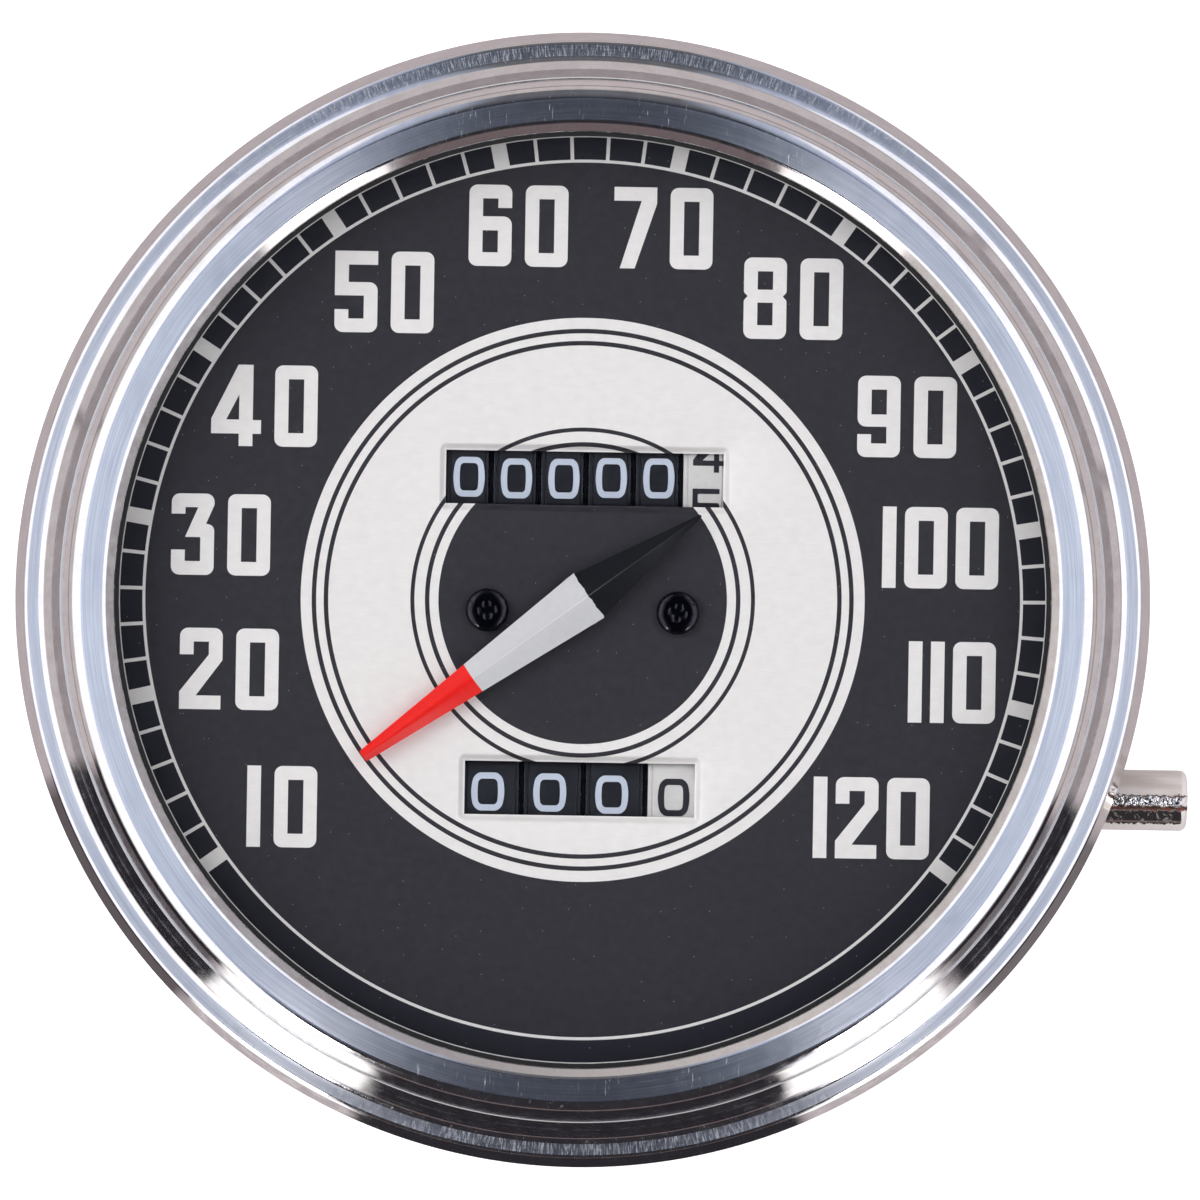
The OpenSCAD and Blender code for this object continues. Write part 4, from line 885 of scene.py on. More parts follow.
class PointerSettings(bpy.types.PropertyGroup):
    """Bounds, heading and tones of the painted pointer."""

    red_from: bpy.props.FloatProperty(
        name="Red from", description="Where the red begins, from the axis", default=15.0 * MM, unit="LENGTH"
    )
    black_from: bpy.props.FloatProperty(
        name="Black from", description="Where the black tail begins", default=-0.8 * MM, unit="LENGTH"
    )
    heading: bpy.props.FloatProperty(
        name="Heading", description="Angle from three o'clock", default=math.radians(216.4), subtype="ANGLE"
    )
    red_dark: colour_setting("Red, dark", "Darker tone of the tip", "#EC0E05")
    red_light: colour_setting("Red, light", "Lighter tone of the tip", "#FA1A0E")
    white_dark: colour_setting("White, dark", "Darker tone of the middle", "#CBCBD0")
    white_light: colour_setting("White, light", "Lighter tone of the middle", "#D6D6DB")
    black_dark: colour_setting("Black, dark", "Darker tone of the tail", "#0F0F12")
    black_light: colour_setting("Black, light", "Lighter tone of the tail", "#17171B")


def pointer_blade(s):
    """Blade as a roof section carried from tail to tip, with the number of each face's coat.

    Half width runs straight from 0.15 at the tail to 2.88 at the end of the black, where the white stands out
    to 3, and on to 0.7 at the tip. The height above its underside is 0.35 + 0.7 (1 - sqrt(v^2 + e^2)), v from
    -1 to 1 across, so the ridge is softly round. The coats end in lines that bow by 0.06 mm, and the white's
    upper end is ragged by 0.05 sin(11 v + 2) + 0.04 sin(27 v) mm. Black and white carry a paler strip on
    their ridge, a painted highlight.
    """
    tail, tip, under_z, steps = -16.1, 30.0, 3.9, 14
    breaks = np.array([tail, s.black_from / MM, s.red_from / MM, tip])
    white_from = breaks[1]
    black_to = white_from - 0.03
    station = np.concatenate([np.linspace(a, b, steps)[:-1] for a, b in zip(breaks, breaks[1:])] + [[tip]])
    station = np.insert(station, steps - 1, black_to)
    half = np.interp(station, [tail, black_to, white_from, tip], [0.15, 2.88, 3.0, 0.7])
    top = np.concatenate([np.linspace(-1, -0.1, 10), [-0.022, 0.022], np.linspace(0.1, 1, 10)])
    v = np.concatenate([top, [1.0, -1.0]])
    soft = np.where(station < white_from - 0.01, 0.02, 0.16)[:, None]
    crest = 0.35 + 0.7 * (1 - np.sqrt(v**2 + soft**2)) * np.minimum(half / 1.2, 1)[:, None] ** 0.5
    height = np.where(np.arange(len(v)) < len(top), crest, 0.0)
    at_break = np.where(np.abs(station - white_from) < 0.05, 1.0, 0.0)[:, None]
    ragged = at_break * (0.05 * np.sin(11 * v + 2) + 0.04 * np.sin(27 * v))
    along = station[:, None] - 0.06 * (v**2)[None] + ragged
    side = half[:, None] * v[None]
    c, d = math.cos(s.heading), math.sin(s.heading)
    points = np.stack([along * c - side * d, along * d + side * c, under_z + height], -1).reshape(-1, 3)
    faces = grid_faces(len(station), len(v), False, True)
    end = np.arange(len(v))
    ends = np.stack([end, end[::-1] + (len(station) - 1) * len(v)])
    stretch = np.searchsorted(breaks, (station[:-1] + station[1:]) / 2) - 1
    coat = np.repeat(stretch[:, None], len(v), 1)
    # the ridge strips of black and white take the paler coats, a painted highlight; red has none
    coat[:, np.searchsorted(top, 0) - 1] = np.array([3, 4, 2])[stretch]
    return (points, [faces, ends]), np.concatenate([coat.ravel(), [0, 2]])


def pointer_enamels(s):
    """Brushed enamel, each coat with its own sheen, and paler black and white for a painted highlight on the
    ridge.
    """
    coats = (
        ("black_pointer_enamel", (s.black_dark, s.black_light), (0.36, 0.44), 0.001, 0.12),
        ("white_pointer_enamel", (s.white_dark, s.white_light), (0.3, 0.42), 0.002, 0.4),
        ("red_pointer_enamel", (s.red_dark, s.red_light), (0.3, 0.4), 0.002, 0.25),
    )
    enamels = [
        worn_finish(name, tones, 0.0, roughness, 0.8, bump, 6.0, extra={"Specular IOR Level": sheen})
        for name, tones, roughness, bump, sheen in coats
    ]
    # paler black and white laid on the ridge: painted highlights
    ridge_glint = worn_finish("ridge_glint_black_enamel", ("#26262B", "#5A5A60"), 0.0, (0.4, 0.5), 0.5)
    white_ridge_glint = worn_finish("ridge_glint_white_enamel", ("#DADADE", "#ECECEF"), 0.0, (0.3, 0.4), 0.5)
    return [*enamels, ridge_glint, white_ridge_glint]


class SPEEDOMETER_OT_pointer(bpy.types.Operator):
    """Ridged pointer with red tip, white middle and black tail, and its boss"""

    bl_idname = "speedometer.pointer"
    bl_label = "Add pointer"

    def execute(self, context):
        s = context.scene.speedometer_pointer
        blade, coat = pointer_blade(s)
        section = rounded([(0, 1.0, 0), (2.4, 1.0, 0.2), (2.4, 3.95, 0.05), (0, 3.95, 0)], 5)
        boss = (turned(section, 64), [grid_faces(len(section), 64, False, True)])
        coat = np.concatenate([coat, np.zeros(len(boss[1][0]), int)])
        shape = joined([blade, boss])
        make_piece("pointer", "painted", "pointer", shape, pointer_enamels(s), coat)
        return {"FINISHED"}


# Screws of the dial and of the case

CASE_BACK = -51.0
DIAL_SCREWS = ((-10.6, -1.3, 0.1), (10.6, -1.3, -0.25))
CASE_SCREWS = ((-16, 14, 0.4), (-16, -18, 1.1), (30, 12, 0.7))


def soft_step(inside_by, width):
    """3 u^2 - 2 u^3 of how far a place lies inside a bound, u running from 0 to 1 over the width."""
    u = np.clip(inside_by / width + 0.5, 0, 1)
    return 3 * u**2 - 2 * u**3


def screw(x, y, turn, seat, length, facing=1, size=1.0, steps=200):
    """Pan head screw: the head is heights over a disc, the shank is turned.

    Crown: 0.45 + 0.85 sqrt(1 - (r / R)^7). With a and b how far |x| and |y| pass half an arm's width, the
    recess is 0.65 deep where a b / (a + b) is near 0, and a shallow bevel runs on to 0.24 from there. All
    of it is multiplied by size and stands on the seat, upwards or, facing -1, downwards.
    """
    head_r, shank_r, half_arm, foot = 2.4, 1.2, 0.17, -length / size
    ring = np.concatenate([np.linspace(0, 1.2, 61), np.linspace(1.25, 2.3, 22), [2.36, head_r]])
    angle = np.linspace(0, 2 * math.pi, steps, endpoint=False)
    r, t = np.meshgrid(ring, angle, indexing="ij")
    aside, ahead = np.abs(r * np.cos(t)), np.abs(r * np.sin(t))
    a, b, far = np.maximum(aside - half_arm, 0), np.maximum(ahead - half_arm, 0), np.maximum(aside, ahead)
    gap = a * b / (a + b + 1e-6)
    recess = np.maximum(soft_step(0.04 - gap, 0.08) * soft_step(0.8 - far, 0.16), soft_step(0.4 - r, 0.2))
    bevel = soft_step(0.12 - gap, 0.24) * soft_step(0.95 - far, 0.36)
    crown = 0.45 + 0.85 * (1 - np.minimum(r / head_r, 1) ** 7) ** 0.5
    height = crown - 0.65 * recess - 0.15 * bevel
    shank = [(head_r, 0.45, 0), (head_r, 0, 0.05), (shank_r, 0, 0.02), (shank_r, foot, 0.2), (0, foot, 0)]
    shank = rounded(shank, 3)
    height = np.concatenate([height, np.broadcast_to(shank[:, 1:], (len(shank), steps))])
    r, t = np.meshgrid(np.concatenate([ring, shank[:, 0]]), angle + turn, indexing="ij")
    points = np.stack([r * np.cos(t), r * np.sin(t), height], -1).reshape(-1, 3)
    points = points * [size, size, facing * size] + [x, y, seat]
    return points, [grid_faces(len(ring) + len(shank), steps, False, True)]


class SPEEDOMETER_OT_screws(bpy.types.Operator):
    """Cross-recess screws: two black ones in the dial, three plated ones at the back of the case"""

    bl_idname = "speedometer.screws"
    bl_label = "Add screws"

    def execute(self, context):
        # blackened steel: dark and glossy, oiled
        oxide = worn_finish("black_oxide_steel", ("#2D292D", "#3A363A"), 1.0, (0.07, 0.11), 0.5, 0.0, 1.5)
        # zinc plate with a clear passivate: blue-grey, satin
        zinc = worn_finish("zinc_plated_screw", ("#9DA2A6", "#BFC3C4"), 1.0, (0.24, 0.4), 0.5, 0.002, 2.5)
        dial = joined([screw(*place, FACE_Z, 3.8) for place in DIAL_SCREWS])
        case = joined([screw(*place, CASE_BACK, 5.0, -1, 1.03, 120) for place in CASE_SCREWS])
        make_piece("dial_screws", "dressed", "root", dial, [oxide], None, 32)
        make_piece("case_screws", "dressed", "root", case, [zinc], None, 32)
        return {"FINISHED"}


# Threads at the back

NIPPLE_R = 7.94
STUD_R = 2.4
STUDS_X = (-35.0, 35.0)


def threaded(corners, radius, low, high, pitch, depth, segments, centre=(0.0, 0.0)):
    """A turned piece about z with a screw thread between two heights.

    There the radius is R - D (1 - T) F, with T = clip(1.5 (1 - |2 f - 1|) - 0.2, 0, 1), f the fraction of
    h / pitch - t / 2 pi, D the depth, and F fading over one pitch at either end.
    """
    section = rounded(corners, 4)
    start = np.flatnonzero((np.abs(section[:, 0] - radius) < 1e-6) & (section[:, 1] < (low + high) / 2))[-1]
    levels = np.arange(low, high, pitch / 10)[:, None]
    fine = np.hstack([np.full_like(levels, radius), levels])
    section = np.concatenate([section[: start + 1], fine, section[start + 1 :]])
    points = turned(section, segments).reshape(len(section), segments, 3)
    turn = np.linspace(0, 1, segments, endpoint=False)
    height = section[:, 1:]
    wave = (height / pitch - turn) % 1
    crest = np.clip(1.5 * (1 - np.abs(2 * wave - 1)) - 0.2, 0, 1)
    fade = np.clip(np.minimum(height - low, high - height) / pitch, 0, 1)
    cut = np.where(np.abs(section[:, :1] - radius) < 1e-6, depth * (1 - crest) * fade, 0)
    points[..., :2] *= (1 - cut / np.maximum(section[:, :1], 1e-6))[..., None]
    return points.reshape(-1, 3) + [*centre, 0], [grid_faces(len(section), segments, True, True)]


class ThreadSettings(bpy.types.PropertyGroup):
    """Threads at the back."""

    stud_pitch: bpy.props.FloatProperty(
        name="Stud pitch", description="Thread pitch of the studs", default=0.8 * MM, unit="LENGTH"
    )
    nipple_pitch: bpy.props.FloatProperty(
        name="Nipple pitch", description="Thread pitch of the cable nipple", default=1.27 * MM, unit="LENGTH"
    )


class SPEEDOMETER_OT_threads(bpy.types.Operator):
    """Cable nipple and mounting studs with their cut threads"""

    bl_idname = "speedometer.threads"
    bl_label = "Add threads"

    def execute(self, context):
        s = context.scene.speedometer_threads
        # nickel plate: warm grey, rubbed dull on the crests
        nickel = worn_finish("nickelled_thread", ("#B8AFA6", "#D6CFC8"), 1.0, (0.14, 0.3), 0.35, 0.002, 2.5)
        # zinc plate with a clear passivate: blue-grey, satin
        zinc = worn_finish("zinc_plated_thread", ("#9DA2A6", "#BFC3C4"), 1.0, (0.24, 0.4), 0.5, 0.003, 3.5)
        nipple = [
            (4.9, -63, 0.1), (7.4, -63, 0.1), (NIPPLE_R, -62.4, 0), (NIPPLE_R, -52.6, 0),
            (10.94, -52.6, 0.25), (10.94, CASE_BACK, 0.1), (6.54, CASE_BACK, 0), (6.54, -49.4, 0.1),
            (4.9, -49.4, 0.1),
        ]
        stud = [
            (0, -67, 0), (1.9, -67, 0.05), (STUD_R, -66.5, 0), (STUD_R, CASE_BACK, 0),
            (2.1, CASE_BACK, 0), (2.1, -50, 0), (4.6, -50, 0.1), (4.6, -48.8, 0.25), (0, -48.8, 0),
        ]
        nipple = threaded(nipple, NIPPLE_R, -62.2, -53.2, s.nipple_pitch / MM, 0.62, 128)
        studs = [threaded(stud, STUD_R, -66.4, -51.6, s.stud_pitch / MM, 0.4, 64, (x, 0.0)) for x in STUDS_X]
        make_piece("cable_nipple", "threaded", "root", nipple, [nickel], None, 40)
        make_piece("mounting_studs", "threaded", "root", joined(studs), [zinc], None, 40)
        return {"FINISHED"}


# Finishes of the CAD nodes


def window_glass():
    """Float glass: clear, faintly green at its edge. Lamps and scattered light pass straight through."""
    material, tree, _ = new_material("window_glass")
    clear = add(tree, "BsdfTransparent", {"Color": (0.995, 0.998, 0.996, 1)})
    pane = {"Base Color": linear("#FFFFFF"), "Roughness": 0.0, "IOR": 1.52, "Transmission Weight": 1.0}
    glass = add(tree, "BsdfPrincipled", pane)
    path = add(tree, "LightPath").outputs
    scattered = add(tree, "Math", LARGER, {0: path["Is Diffuse Ray"], 1: path["Is Glossy Ray"]})
    past = add(tree, "Math", LARGER, {0: path["Is Shadow Ray"], 1: scattered})
    soft = add(tree, "MixShader", None, {0: past, 1: glass, 2: clear})
    add(tree, "OutputMaterial", None, {0: soft})
    return material


def strip(tree, value, low, high, soft):
    """1 where the value lies between two bounds, falling smoothly to 0 over twice the softness."""
    edges = ((low - soft, low + soft), (high + soft, high - soft))
    rise, fall = (
        add(tree, "MapRange", {**SMOOTH, "From Min": start, "From Max": end}, {"Value": value})
        for start, end in edges
    )
    return add(tree, "Math", TIMES, {0: rise, 1: fall})


def worn_stem_nickel():
    """Nickel plate on the reset stem, worn in strips along it.

    The side towards twelve o'clock has gone dull, the far end dull and pale, and the edge towards six o'clock
    is pale and matt, a painted reflection of the floor; the middle is crinkled, and rust shows in a ragged
    line beside it. Places across the stem run from -1 to 1, shifted by noise so that the strips' edges are
    ragged.
    """
    material, tree, place = new_material("worn_stem_nickel")
    parts = add(tree, "SeparateXYZ", None, {0: place}).outputs
    width = {"From Min": -24.9 * MM, "From Max": -18.1 * MM, "To Min": -1.175, "To Max": 0.825}
    across = add(tree, "MapRange", {**width, "clamp": False}, {"Value": parts["Y"]})
    stain = add(tree, "Mapping", {"Scale": (0.2, 1, 1)}, {"Vector": place})
    patterns = (
        ({"Scale": per_metre(0.55), "Detail": 5.0, "Roughness": 0.7}, place),
        ({"Scale": per_metre(0.5), "Detail": 1.0, "Roughness": 0.5, "Distortion": 0.6}, place),
        ({"Scale": per_metre(1.4), "Detail": 3.0, "Roughness": 0.6, "Distortion": 2.5}, place),
        ({"Scale": per_metre(1.6), "Detail": 4.0}, stain),
    )
    noise, crinkle, drift, stains = (
        add(tree, "TexNoise", settings, {"Vector": vector}) for settings, vector in patterns
    )
    ragged = add(tree, "Math", {"operation": "MULTIPLY_ADD", 1: 0.35}, {0: noise, 2: across})
    bounds = (
        (parts["Z"], -9.2 * MM, -7.4 * MM),
        (parts["X"], 67.55 * MM, 67.75 * MM),
        (ragged, -0.74, -0.79),
        (ragged, 0.17, 0.21),
        (drift, 0.54, 0.62),
        (stains, 0.3, 0.65),
        (noise, 0.4, 0.6),
    )
    upper, far_end, floor_reflection_edge, dull_side, swirl, stained, mottled = (
        add(tree, "MapRange", {**SMOOTH, "From Min": start, "From Max": end}, {"Value": value})
        for value, start, end in bounds
    )
    # the edge towards six o'clock, pale and matt, is a painted reflection of the floor; the far end is pale
    # and dull
    pale = add(tree, "Math", LARGER, {0: floor_reflection_edge, 1: far_end})
    dull = add(tree, "Math", LARGER, {0: dull_side, 1: pale})
    beside = strip(tree, ragged, -0.32, -0.16, 0.04), strip(tree, ragged, 0.14, 0.18, 0.015)
    lines = add(tree, "Math", LARGER, dict(enumerate(beside)))
    rust = add(tree, "Math", TIMES, {0: lines, 1: upper})
    pits = add(tree, "Math", TIMES, {0: strip(tree, ragged, -0.18, 0.16, 0.05), 1: upper})
    streak = add(tree, "Math", TIMES, {0: swirl, 1: strip(tree, ragged, -0.72, -0.38, 0.04)})
    smear = add(tree, "Math", {**TIMES, 1: 0.3}, {0: streak})

    bloom_and_floor_reflection = add(tree, "Mix", {**COLOUR, LOW: linear("#DCCFCA"), HIGH: linear("#F6EDEB")}, {0: stained})
    bloom_and_floor_reflection = add(tree, "Mix", {**COLOUR, HIGH: linear("#F3EBEA")}, {0: pale, LOW: bloom_and_floor_reflection})
    oxide = add(tree, "Mix", {**COLOUR, LOW: linear("#24110D"), HIGH: linear("#7A3D2A")}, {0: mottled})
    plate = add(tree, "Mix", {**COLOUR, LOW: linear("#D9D2CC")}, {0: dull, HIGH: bloom_and_floor_reflection})
    colour = add(tree, "Mix", COLOUR, {0: rust, LOW: plate, HIGH: oxide})
    worn = add(tree, "Math", LARGER, {0: dull, 1: rust})
    cover = add(tree, "Math", LARGER, {0: worn, 1: smear})
    share = add(tree, "MapRange", {"To Min": 1.0, "To Max": 0.1}, {"Value": cover})
    rough = add(tree, "MapRange", {"To Min": 0.1, "To Max": 0.55}, {"Value": cover})
    height = add(tree, "Math", TIMES, {0: crinkle, 1: pits})
    bump = add(tree, "Bump", {"Strength": 1.0, "Distance": 0.3 * MM}, {"Height": height})
    links = {"Base Color": colour, "Metallic": share, "Roughness": rough, "Normal": bump}
    add(tree, "OutputMaterial", None, {0: add(tree, "BsdfPrincipled", None, links)})
    return material


# by slot: name, dark and light tone, metallic, bounds of the roughness, then grain, bump and blotch in mm
CAD_FINISHES = {
    # nitrile ring: matt, nearly black
    "black_rubber": ("gasket_rubber", ("#131313", "#1E1E1E"), 0.0, (0.6, 0.75), 0.4, 0.01, 3.0),
    # ground rod: bright, with rings left by the wheel
    "bright_steel": ("ground_steel", ("#9FA0A2", "#B9BABC"), 1.0, (0.2, 0.32), 0.2, 0.002, 4.0),
    # free-cutting brass: yellow with a light brown bloom
    "brass": ("machined_brass", ("#A98342", "#CDAA63"), 1.0, (0.22, 0.36), 0.25, 0.002, 5.0),
    # sintered bronze: dull brown and slightly porous
    "bronze": ("sintered_bronze", ("#7E5A34", "#A67B49"), 1.0, (0.4, 0.55), 0.3, 0.01, 2.0),
    # spun aluminium: soft grey sheen
    "aluminium": ("spun_aluminium", ("#B4B6B8", "#CFD1D2"), 1.0, (0.28, 0.4), 0.3, 0.003, 6.0),
    # phosphor bronze strip: coppery and smooth
    "spring_bronze": ("phosphor_bronze", ("#9C6B3A", "#C08B52"), 1.0, (0.2, 0.3), 0.2, 0.001, 3.0),
    # stoved black enamel on drawn steel: satin, with a fine orange peel
    "case_paint": ("stoved_black_enamel", ("#17181A", "#232426"), 0.0, (0.34, 0.5), 0.9, 0.012, 16.0),
    # nickel plate: warm grey mirror with dull spots
    "nickel_plate": ("nickel_plate", ("#B8AFA6", "#D6CFC8"), 1.0, (0.1, 0.24), 0.35, 0.002, 2.5),
    # zinc plate with a clear passivate: blue-grey spangle
    "zinc_plate": ("zinc_plate", ("#9DA2A6", "#BFC3C4"), 1.0, (0.3, 0.44), 0.5, 0.004, 3.5),
    # pressure-cast zinc: matt grey with flow marks
    "zinc_casting": ("cast_zinc", ("#86888A", "#9EA0A1"), 1.0, (0.45, 0.6), 0.6, 0.02, 7.0),
    # sintered magnet: dark, sandy
    "magnet_steel": ("sintered_magnet", ("#3A3B3D", "#505153"), 0.8, (0.45, 0.6), 0.3, 0.01, 2.0),
}


class SPEEDOMETER_OT_finishes(bpy.types.Operator):
    """Finishes on the nodes that keep their CAD shape"""

    bl_idname = "speedometer.finishes"
    bl_label = "Finish the frame's nodes"

    def execute(self, context):
        finishes = {slot: worn_finish(*row) for slot, row in CAD_FINISHES.items()}
        finishes["glass"] = window_glass()
        # blown glass: clear and faintly warm
        tones = ("#F3F2EC", "#FFFFFF")
        rough = (0.02, 0.05)
        clear = {"Transmission Weight": 0.9, "IOR": 1.5}
        finishes["bulb_glass"] = worn_finish("bulb_glass", tones, 0.0, rough, 1.0, 0.0, 6.0, extra=clear)
        # brass strip darkened as painted shade, so that the gaps between the wheels read dark
        gap_shade = worn_finish("gap_shade_brass", ("#2C2B2D", "#47464A"), 0.8, (0.35, 0.5), 0.3, 0.003, 2.0)
        by_name = {
            "odometer_carriers": gap_shade,
            "trip_carriers": gap_shade,
            "reset_stem": worn_stem_nickel(),
        }
        slot_of = {row["node"]: row["material_slot"] for row in frame["record"]["subparts"]}
        for name, node in frame["nodes"].items():
            finish = by_name.get(name) or finishes.get(slot_of.get(name))
            if finish is None:
                continue
            for place in node.material_slots:
                place.material = finish
        return {"FINISHED"}


# The stage

FLOOR_Z = -68.0
ROOM = 1500.0
# tangent of half the lens's angle, and where the camera stands over the bezel, in metres
HALF_VIEW = 0.06703
CAMERA_AT = (0.001928, 0.000021)
# each lamp's place in metres and its share of the lamp power
LAMPS = {"softbox_left": ((-0.8, 0.35, 0.9), 1.6), "softbox_right": ((0.8, 0.35, 0.9), 0.55)}
# cards on the floor that only mirrors see: heading from and to, reach from and to in mm, height and colour
DARK = (0.028, 0.026, 0.032)
BRIGHT = (1.6, 1.6, 1.6)
CARDS = (
    (0, 360, 66, 128, 0.5, (0.56, 0.5, 0.52)),
    (0, 360, 128, 150, 0.5, (0.68, 0.61, 0.62)),
    (0, 360, 150, 200, 0.5, (0.4, 0.36, 0.38)),
    (0, 360, 200, 1400, 0.5, (0.68, 0.63, 0.65)),
    (199, 227, 66, 150, 1.5, (0.14, 0.12, 0.13)),
    (198, 228.5, 150, 1400, 1.5, DARK),
    (226, 248.5, 106, 1400, 1.6, BRIGHT),
    (246, 295.5, 66, 1400, 1.5, DARK),
    (293, 315.5, 106, 1400, 1.6, BRIGHT),
    (314.5, 337.5, 66, 150, 1.5, (0.2, 0.18, 0.19)),
    (314.5, 340, 150, 1400, 1.5, DARK),
    (12.5, 16.5, 150, 1400, 1.5, (0.42, 0.38, 0.4)),
    (41.5, 46, 150, 1400, 1.5, (0.46, 0.42, 0.44)),
    (131.8, 135.2, 150, 1400, 1.5, (0.44, 0.4, 0.42)),
    (160, 163.4, 150, 1400, 1.5, (0.36, 0.33, 0.34)),
)
# windows in the walls that only mirrors see: heading and half width in degrees, foot and head in mm, strength
WINDOWS = (
    (237, 9, -40, 238, 1.6),
    (304, 9, -40, 238, 1.6),
    (238, 5, 668, 1250, 12.0),
    (304, 5, 668, 1250, 12.0),
)


class StageSettings(bpy.types.PropertyGroup):
    """Light and camera."""

    fill: bpy.props.FloatProperty(name="Fill", description="Plain light from all round", default=0.66, min=0)
    lamp_power: bpy.props.FloatProperty(
        name="Lamp power", description="Power of each softbox", default=4.0, unit="POWER", min=0
    )
    camera_height: bpy.props.FloatProperty(
        name="Camera height", description="Lens above the bezel's seat", default=1.0, unit="LENGTH"
    )
    roll: bpy.props.FloatProperty(
        name="Camera roll", description="Turn of the camera", default=math.radians(0.95), subtype="ANGLE"
    )


def studio_world(level):
    """Even fill for matt surfaces and white for the camera.

    Mirrors see a dark ceiling between two bright walls on the left and right, a black curtain beyond six
    o'clock, and a warm grey skirting round the rest.
    """
    world = bpy.data.worlds.new("studio")
    world.use_nodes = True
    tree = world.node_tree
    tree.nodes.clear()
    heading = add(tree, "TexCoord").outputs["Generated"]
    sides = add(tree, "SeparateXYZ", None, {0: heading}).outputs
    aside = add(tree, "Math", {"operation": "ABSOLUTE"}, {0: sides["X"]})
    stops = (
        (0.16, linear("#252C3A")),
        (0.27, (0.46, 0.54, 0.74, 1)),
        (0.37, (0.62, 0.7, 0.94, 1)),
        (0.42, (1.45, 1.5, 1.65, 1)),
    )
    walls = add(tree, "ValToRGB", {"stops": stops}, {"Fac": aside})
    bounds = (
        (sides["Z"], 0.13, 0.07),
        (sides["X"], -0.5, 0.5),
        (aside, 0.46, 0.36),
        (sides["Y"], -0.35, -0.5),
        (sides["Y"], 0.3, 0.85),
    )
    low, right, middle, front, back = (
        add(tree, "MapRange", {**SMOOTH, "From Min": start, "From Max": end}, {"Value": value})
        for value, start, end in bounds
    )
    warm = {LOW: (0.74, 0.7, 0.68, 1), HIGH: (0.44, 0.42, 0.44, 1)}
    skirting = add(tree, "Mix", {**COLOUR, **warm}, {0: right})
    black = {LOW: (0.035, 0.033, 0.04, 1), HIGH: (0.2, 0.155, 0.165, 1)}
    curtain = add(tree, "Mix", {**COLOUR, **black}, {0: low})
    lift = add(tree, "Math", {**TIMES, 1: 0.25}, {0: back})
    ceiling = add(tree, "Mix", {**COLOUR, HIGH: (0.6, 0.61, 0.66, 1)}, {0: lift, LOW: walls})
    room = add(tree, "Mix", COLOUR, {0: low, LOW: ceiling, HIGH: skirting})
    drawn = add(tree, "Math", TIMES, {0: middle, 1: front})
    mirror = add(tree, "Mix", COLOUR, {0: drawn, LOW: room, HIGH: curtain})
    path = add(tree, "LightPath").outputs
    plain = add(tree, "Background", {"Color": (1.0, 0.99, 0.99, 1), "Strength": level})
    mirrored = add(tree, "Background", {"Strength": 1.0}, {"Color": mirror})
    white = add(tree, "Background", {"Color": (1, 1, 1, 1), "Strength": 1.0})
    lit = add(tree, "MixShader", None, {0: path["Is Glossy Ray"], 1: plain, 2: mirrored})
    seen = add(tree, "Math", LARGER, {0: path["Is Camera Ray"], 1: path["Is Transmission Ray"]})
    add(tree, "OutputWorld", None, {0: add(tree, "MixShader", None, {0: seen, 1: lit, 2: white})})
    return world


def glow(name, colour, strength):
    """A plain emitter for a card that only mirrors see, clear where the card's own fade is 0."""
    material, tree, _ = new_material(name)
    shader = add(tree, "Emission", {"Color": colour, "Strength": strength})
    clear = add(tree, "BsdfTransparent")
    fade = add(tree, "Attribute", {"attribute_name": "fade"}).outputs["Fac"]
    add(tree, "OutputMaterial", None, {0: add(tree, "MixShader", None, {0: fade, 1: clear, 2: shader})})
    return material


def pale_floor():
    """Seamless paper sweep: off-white and matt, white to the camera where the light is full.

    Its underside is clear, so that the object's back can be looked at from below.
    """
    material, tree, _ = new_material("paper_sweep")
    path = add(tree, "LightPath").outputs
    seen = add(tree, "Math", LARGER, {0: path["Is Camera Ray"], 1: path["Is Transmission Ray"]})
    lift = add(tree, "Math", {**TIMES, 1: 0.8}, {0: seen})
    matt = add(tree, "BsdfDiffuse", {"Color": linear("#E0DBDB")})
    added = add(tree, "Emission", {"Color": (1, 1, 1, 1)}, {"Strength": lift})
    both = add(tree, "AddShader", None, {0: matt, 1: added})
    under = {0: add(tree, "NewGeometry").outputs["Backfacing"], 1: path["Is Camera Ray"]}
    clear = add(tree, "BsdfTransparent")
    shown = add(tree, "MixShader", None, {0: add(tree, "Math", TIMES, under), 1: both, 2: clear})
    add(tree, "OutputMaterial", None, {0: shown})
    return material


def stage_sheet(name, points, faces, material):
    """Adds a flat piece of the stage from points in mm."""
    mesh = bpy.data.meshes.new(name)
    mesh.from_pydata((points * MM).tolist(), [], faces.tolist())
    mesh.materials.append(material)
    made = bpy.data.objects.new(name, mesh)
    bpy.context.scene.collection.objects.link(made)
    return made


def stage_card(name, points, faces, fade, colour, strength=1.0):
    """Adds a glowing card that only mirrors see. fade has a value for each point, 0 where it is clear."""
    made = stage_sheet(name, points, faces, glow(name, (*colour, 1), strength))
    made.data.attributes.new("fade", "FLOAT", "POINT").data.foreach_set("value", fade)
    made.visible_camera = False
    made.visible_diffuse = False
    made.visible_transmission = False
    made.visible_shadow = False


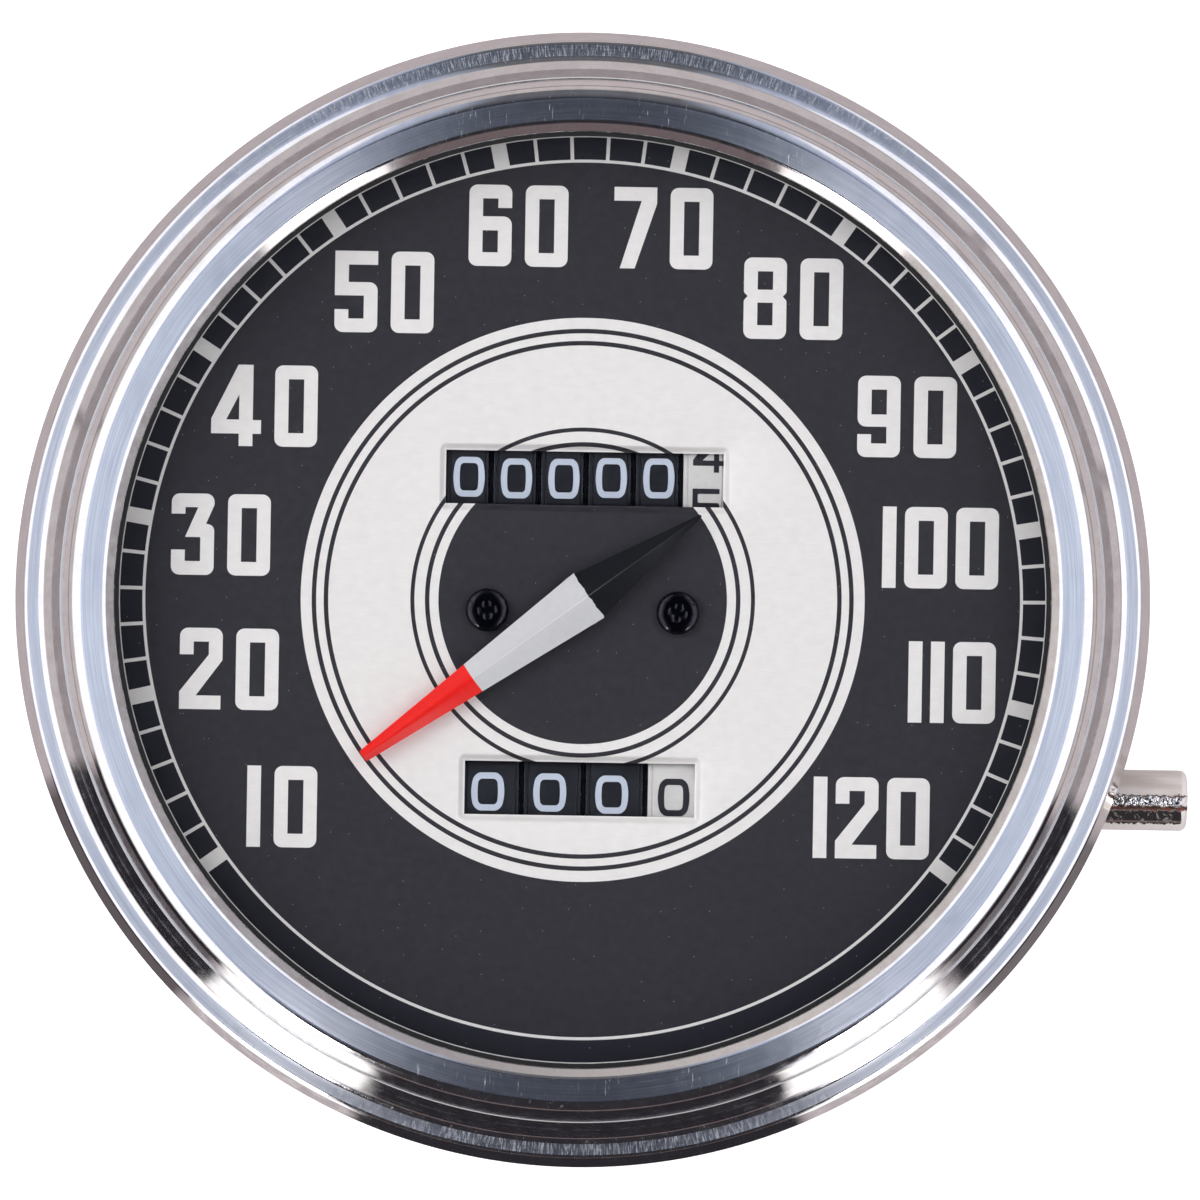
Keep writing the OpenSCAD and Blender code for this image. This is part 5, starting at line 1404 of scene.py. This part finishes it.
class SPEEDOMETER_OT_stage(bpy.types.Operator):
    """Pale floor, cards, soft lamps, world and camera"""

    bl_idname = "speedometer.stage"
    bl_label = "Set the stage"

    def execute(self, context):
        s = context.scene.speedometer_stage
        corners = np.array([[-1, -1], [1, -1], [1, 1], [-1, 1]]) * ROOM
        corners = np.column_stack([corners, np.full(4, FLOOR_Z)])
        stage_sheet("floor", corners, np.array([[0, 1, 2, 3]]), pale_floor())
        for number, (start, stop, near, far, level, colour) in enumerate(CARDS):
            steps = max(round((stop - start) / 2.5), 2)
            turn = np.radians(np.linspace(start, stop, steps + 1))
            reach = np.array([near, far])[:, None]
            height = np.full((2, len(turn)), FLOOR_Z + level)
            points = np.stack([reach * np.cos(turn), reach * np.sin(turn), height], -1).reshape(-1, 3)
            fade = np.ones((2, len(turn)))
            if stop - start < 360:
                fade[:, [0, -1]] = 0
            stage_card(f"card_{number}", points, grid_faces(2, len(turn))[:, ::-1], fade.ravel(), colour)
        for number, (heading, half, foot, head, strength) in enumerate(WINDOWS):
            turn = np.radians([heading - half, heading + half])
            base = np.column_stack([ROOM * np.cos(turn), ROOM * np.sin(turn)])
            points = np.concatenate([np.column_stack([base, np.full(2, z)]) for z in (foot, head)])
            pane = np.array([[0, 1, 3, 2]])
            stage_card(f"window_{number}", points, pane, np.ones(4), (1.0, 0.97, 0.97), strength)
        for name, (place, share) in LAMPS.items():
            light = bpy.data.lights.new(name, "AREA")
            light.energy = s.lamp_power * share
            light.size = 0.9
            light.color = (1.0, 0.99, 0.98)
            lamp = bpy.data.objects.new(name, light)
            lamp.location = place
            lamp.rotation_euler = lamp.location.to_track_quat("Z", "Y").to_euler()
            lamp.visible_glossy = False
            context.scene.collection.objects.link(lamp)
        context.scene.world = studio_world(s.fill)
        lens = bpy.data.cameras.new("camera")
        lens.angle = 2 * math.atan(HALF_VIEW)
        lens.clip_end = 10
        camera = bpy.data.objects.new("camera", lens)
        camera.location = (*CAMERA_AT, s.camera_height)
        camera.rotation_euler = (0, 0, s.roll)
        context.scene.collection.objects.link(camera)
        context.scene.camera = camera
        context.scene.view_settings.view_transform = "Standard"
        return {"FINISHED"}


OPERATORS = (
    SPEEDOMETER_OT_bezel,
    SPEEDOMETER_OT_dial,
    SPEEDOMETER_OT_wheels,
    SPEEDOMETER_OT_pointer,
    SPEEDOMETER_OT_screws,
    SPEEDOMETER_OT_threads,
    SPEEDOMETER_OT_finishes,
    SPEEDOMETER_OT_stage,
)
SETTINGS = {
    "speedometer_bezel": BezelSettings,
    "speedometer_dial": DialSettings,
    "speedometer_wheels": WheelSettings,
    "speedometer_pointer": PointerSettings,
    "speedometer_threads": ThreadSettings,
    "speedometer_stage": StageSettings,
}


class VIEW3D_PT_speedometer(bpy.types.Panel):
    """Lists the steps and their sizes"""

    bl_label = "Speedometer"
    bl_idname = "VIEW3D_PT_speedometer"
    bl_space_type = "VIEW_3D"
    bl_region_type = "UI"
    bl_category = "Speedometer"

    def draw(self, context):
        for operator in OPERATORS:
            self.layout.operator(operator.bl_idname)
        for name, group in SETTINGS.items():
            box = self.layout.box()
            for prop in group.__annotations__:
                box.prop(getattr(context.scene, name), prop)


def register():
    for made in (*SETTINGS.values(), *OPERATORS, VIEW3D_PT_speedometer):
        bpy.utils.register_class(made)
    for name, group in SETTINGS.items():
        setattr(bpy.types.Scene, name, bpy.props.PointerProperty(type=group))


def unregister():
    for name in SETTINGS:
        delattr(bpy.types.Scene, name)
    for made in (VIEW3D_PT_speedometer, *reversed(OPERATORS), *reversed(SETTINGS.values())):
        bpy.utils.unregister_class(made)


def main():
    register()
    for operator in OPERATORS:
        getattr(bpy.ops.speedometer, operator.bl_idname.split(".")[1])()
    bpy.context.view_layer.update()


if __name__ == "__main__":
    main()
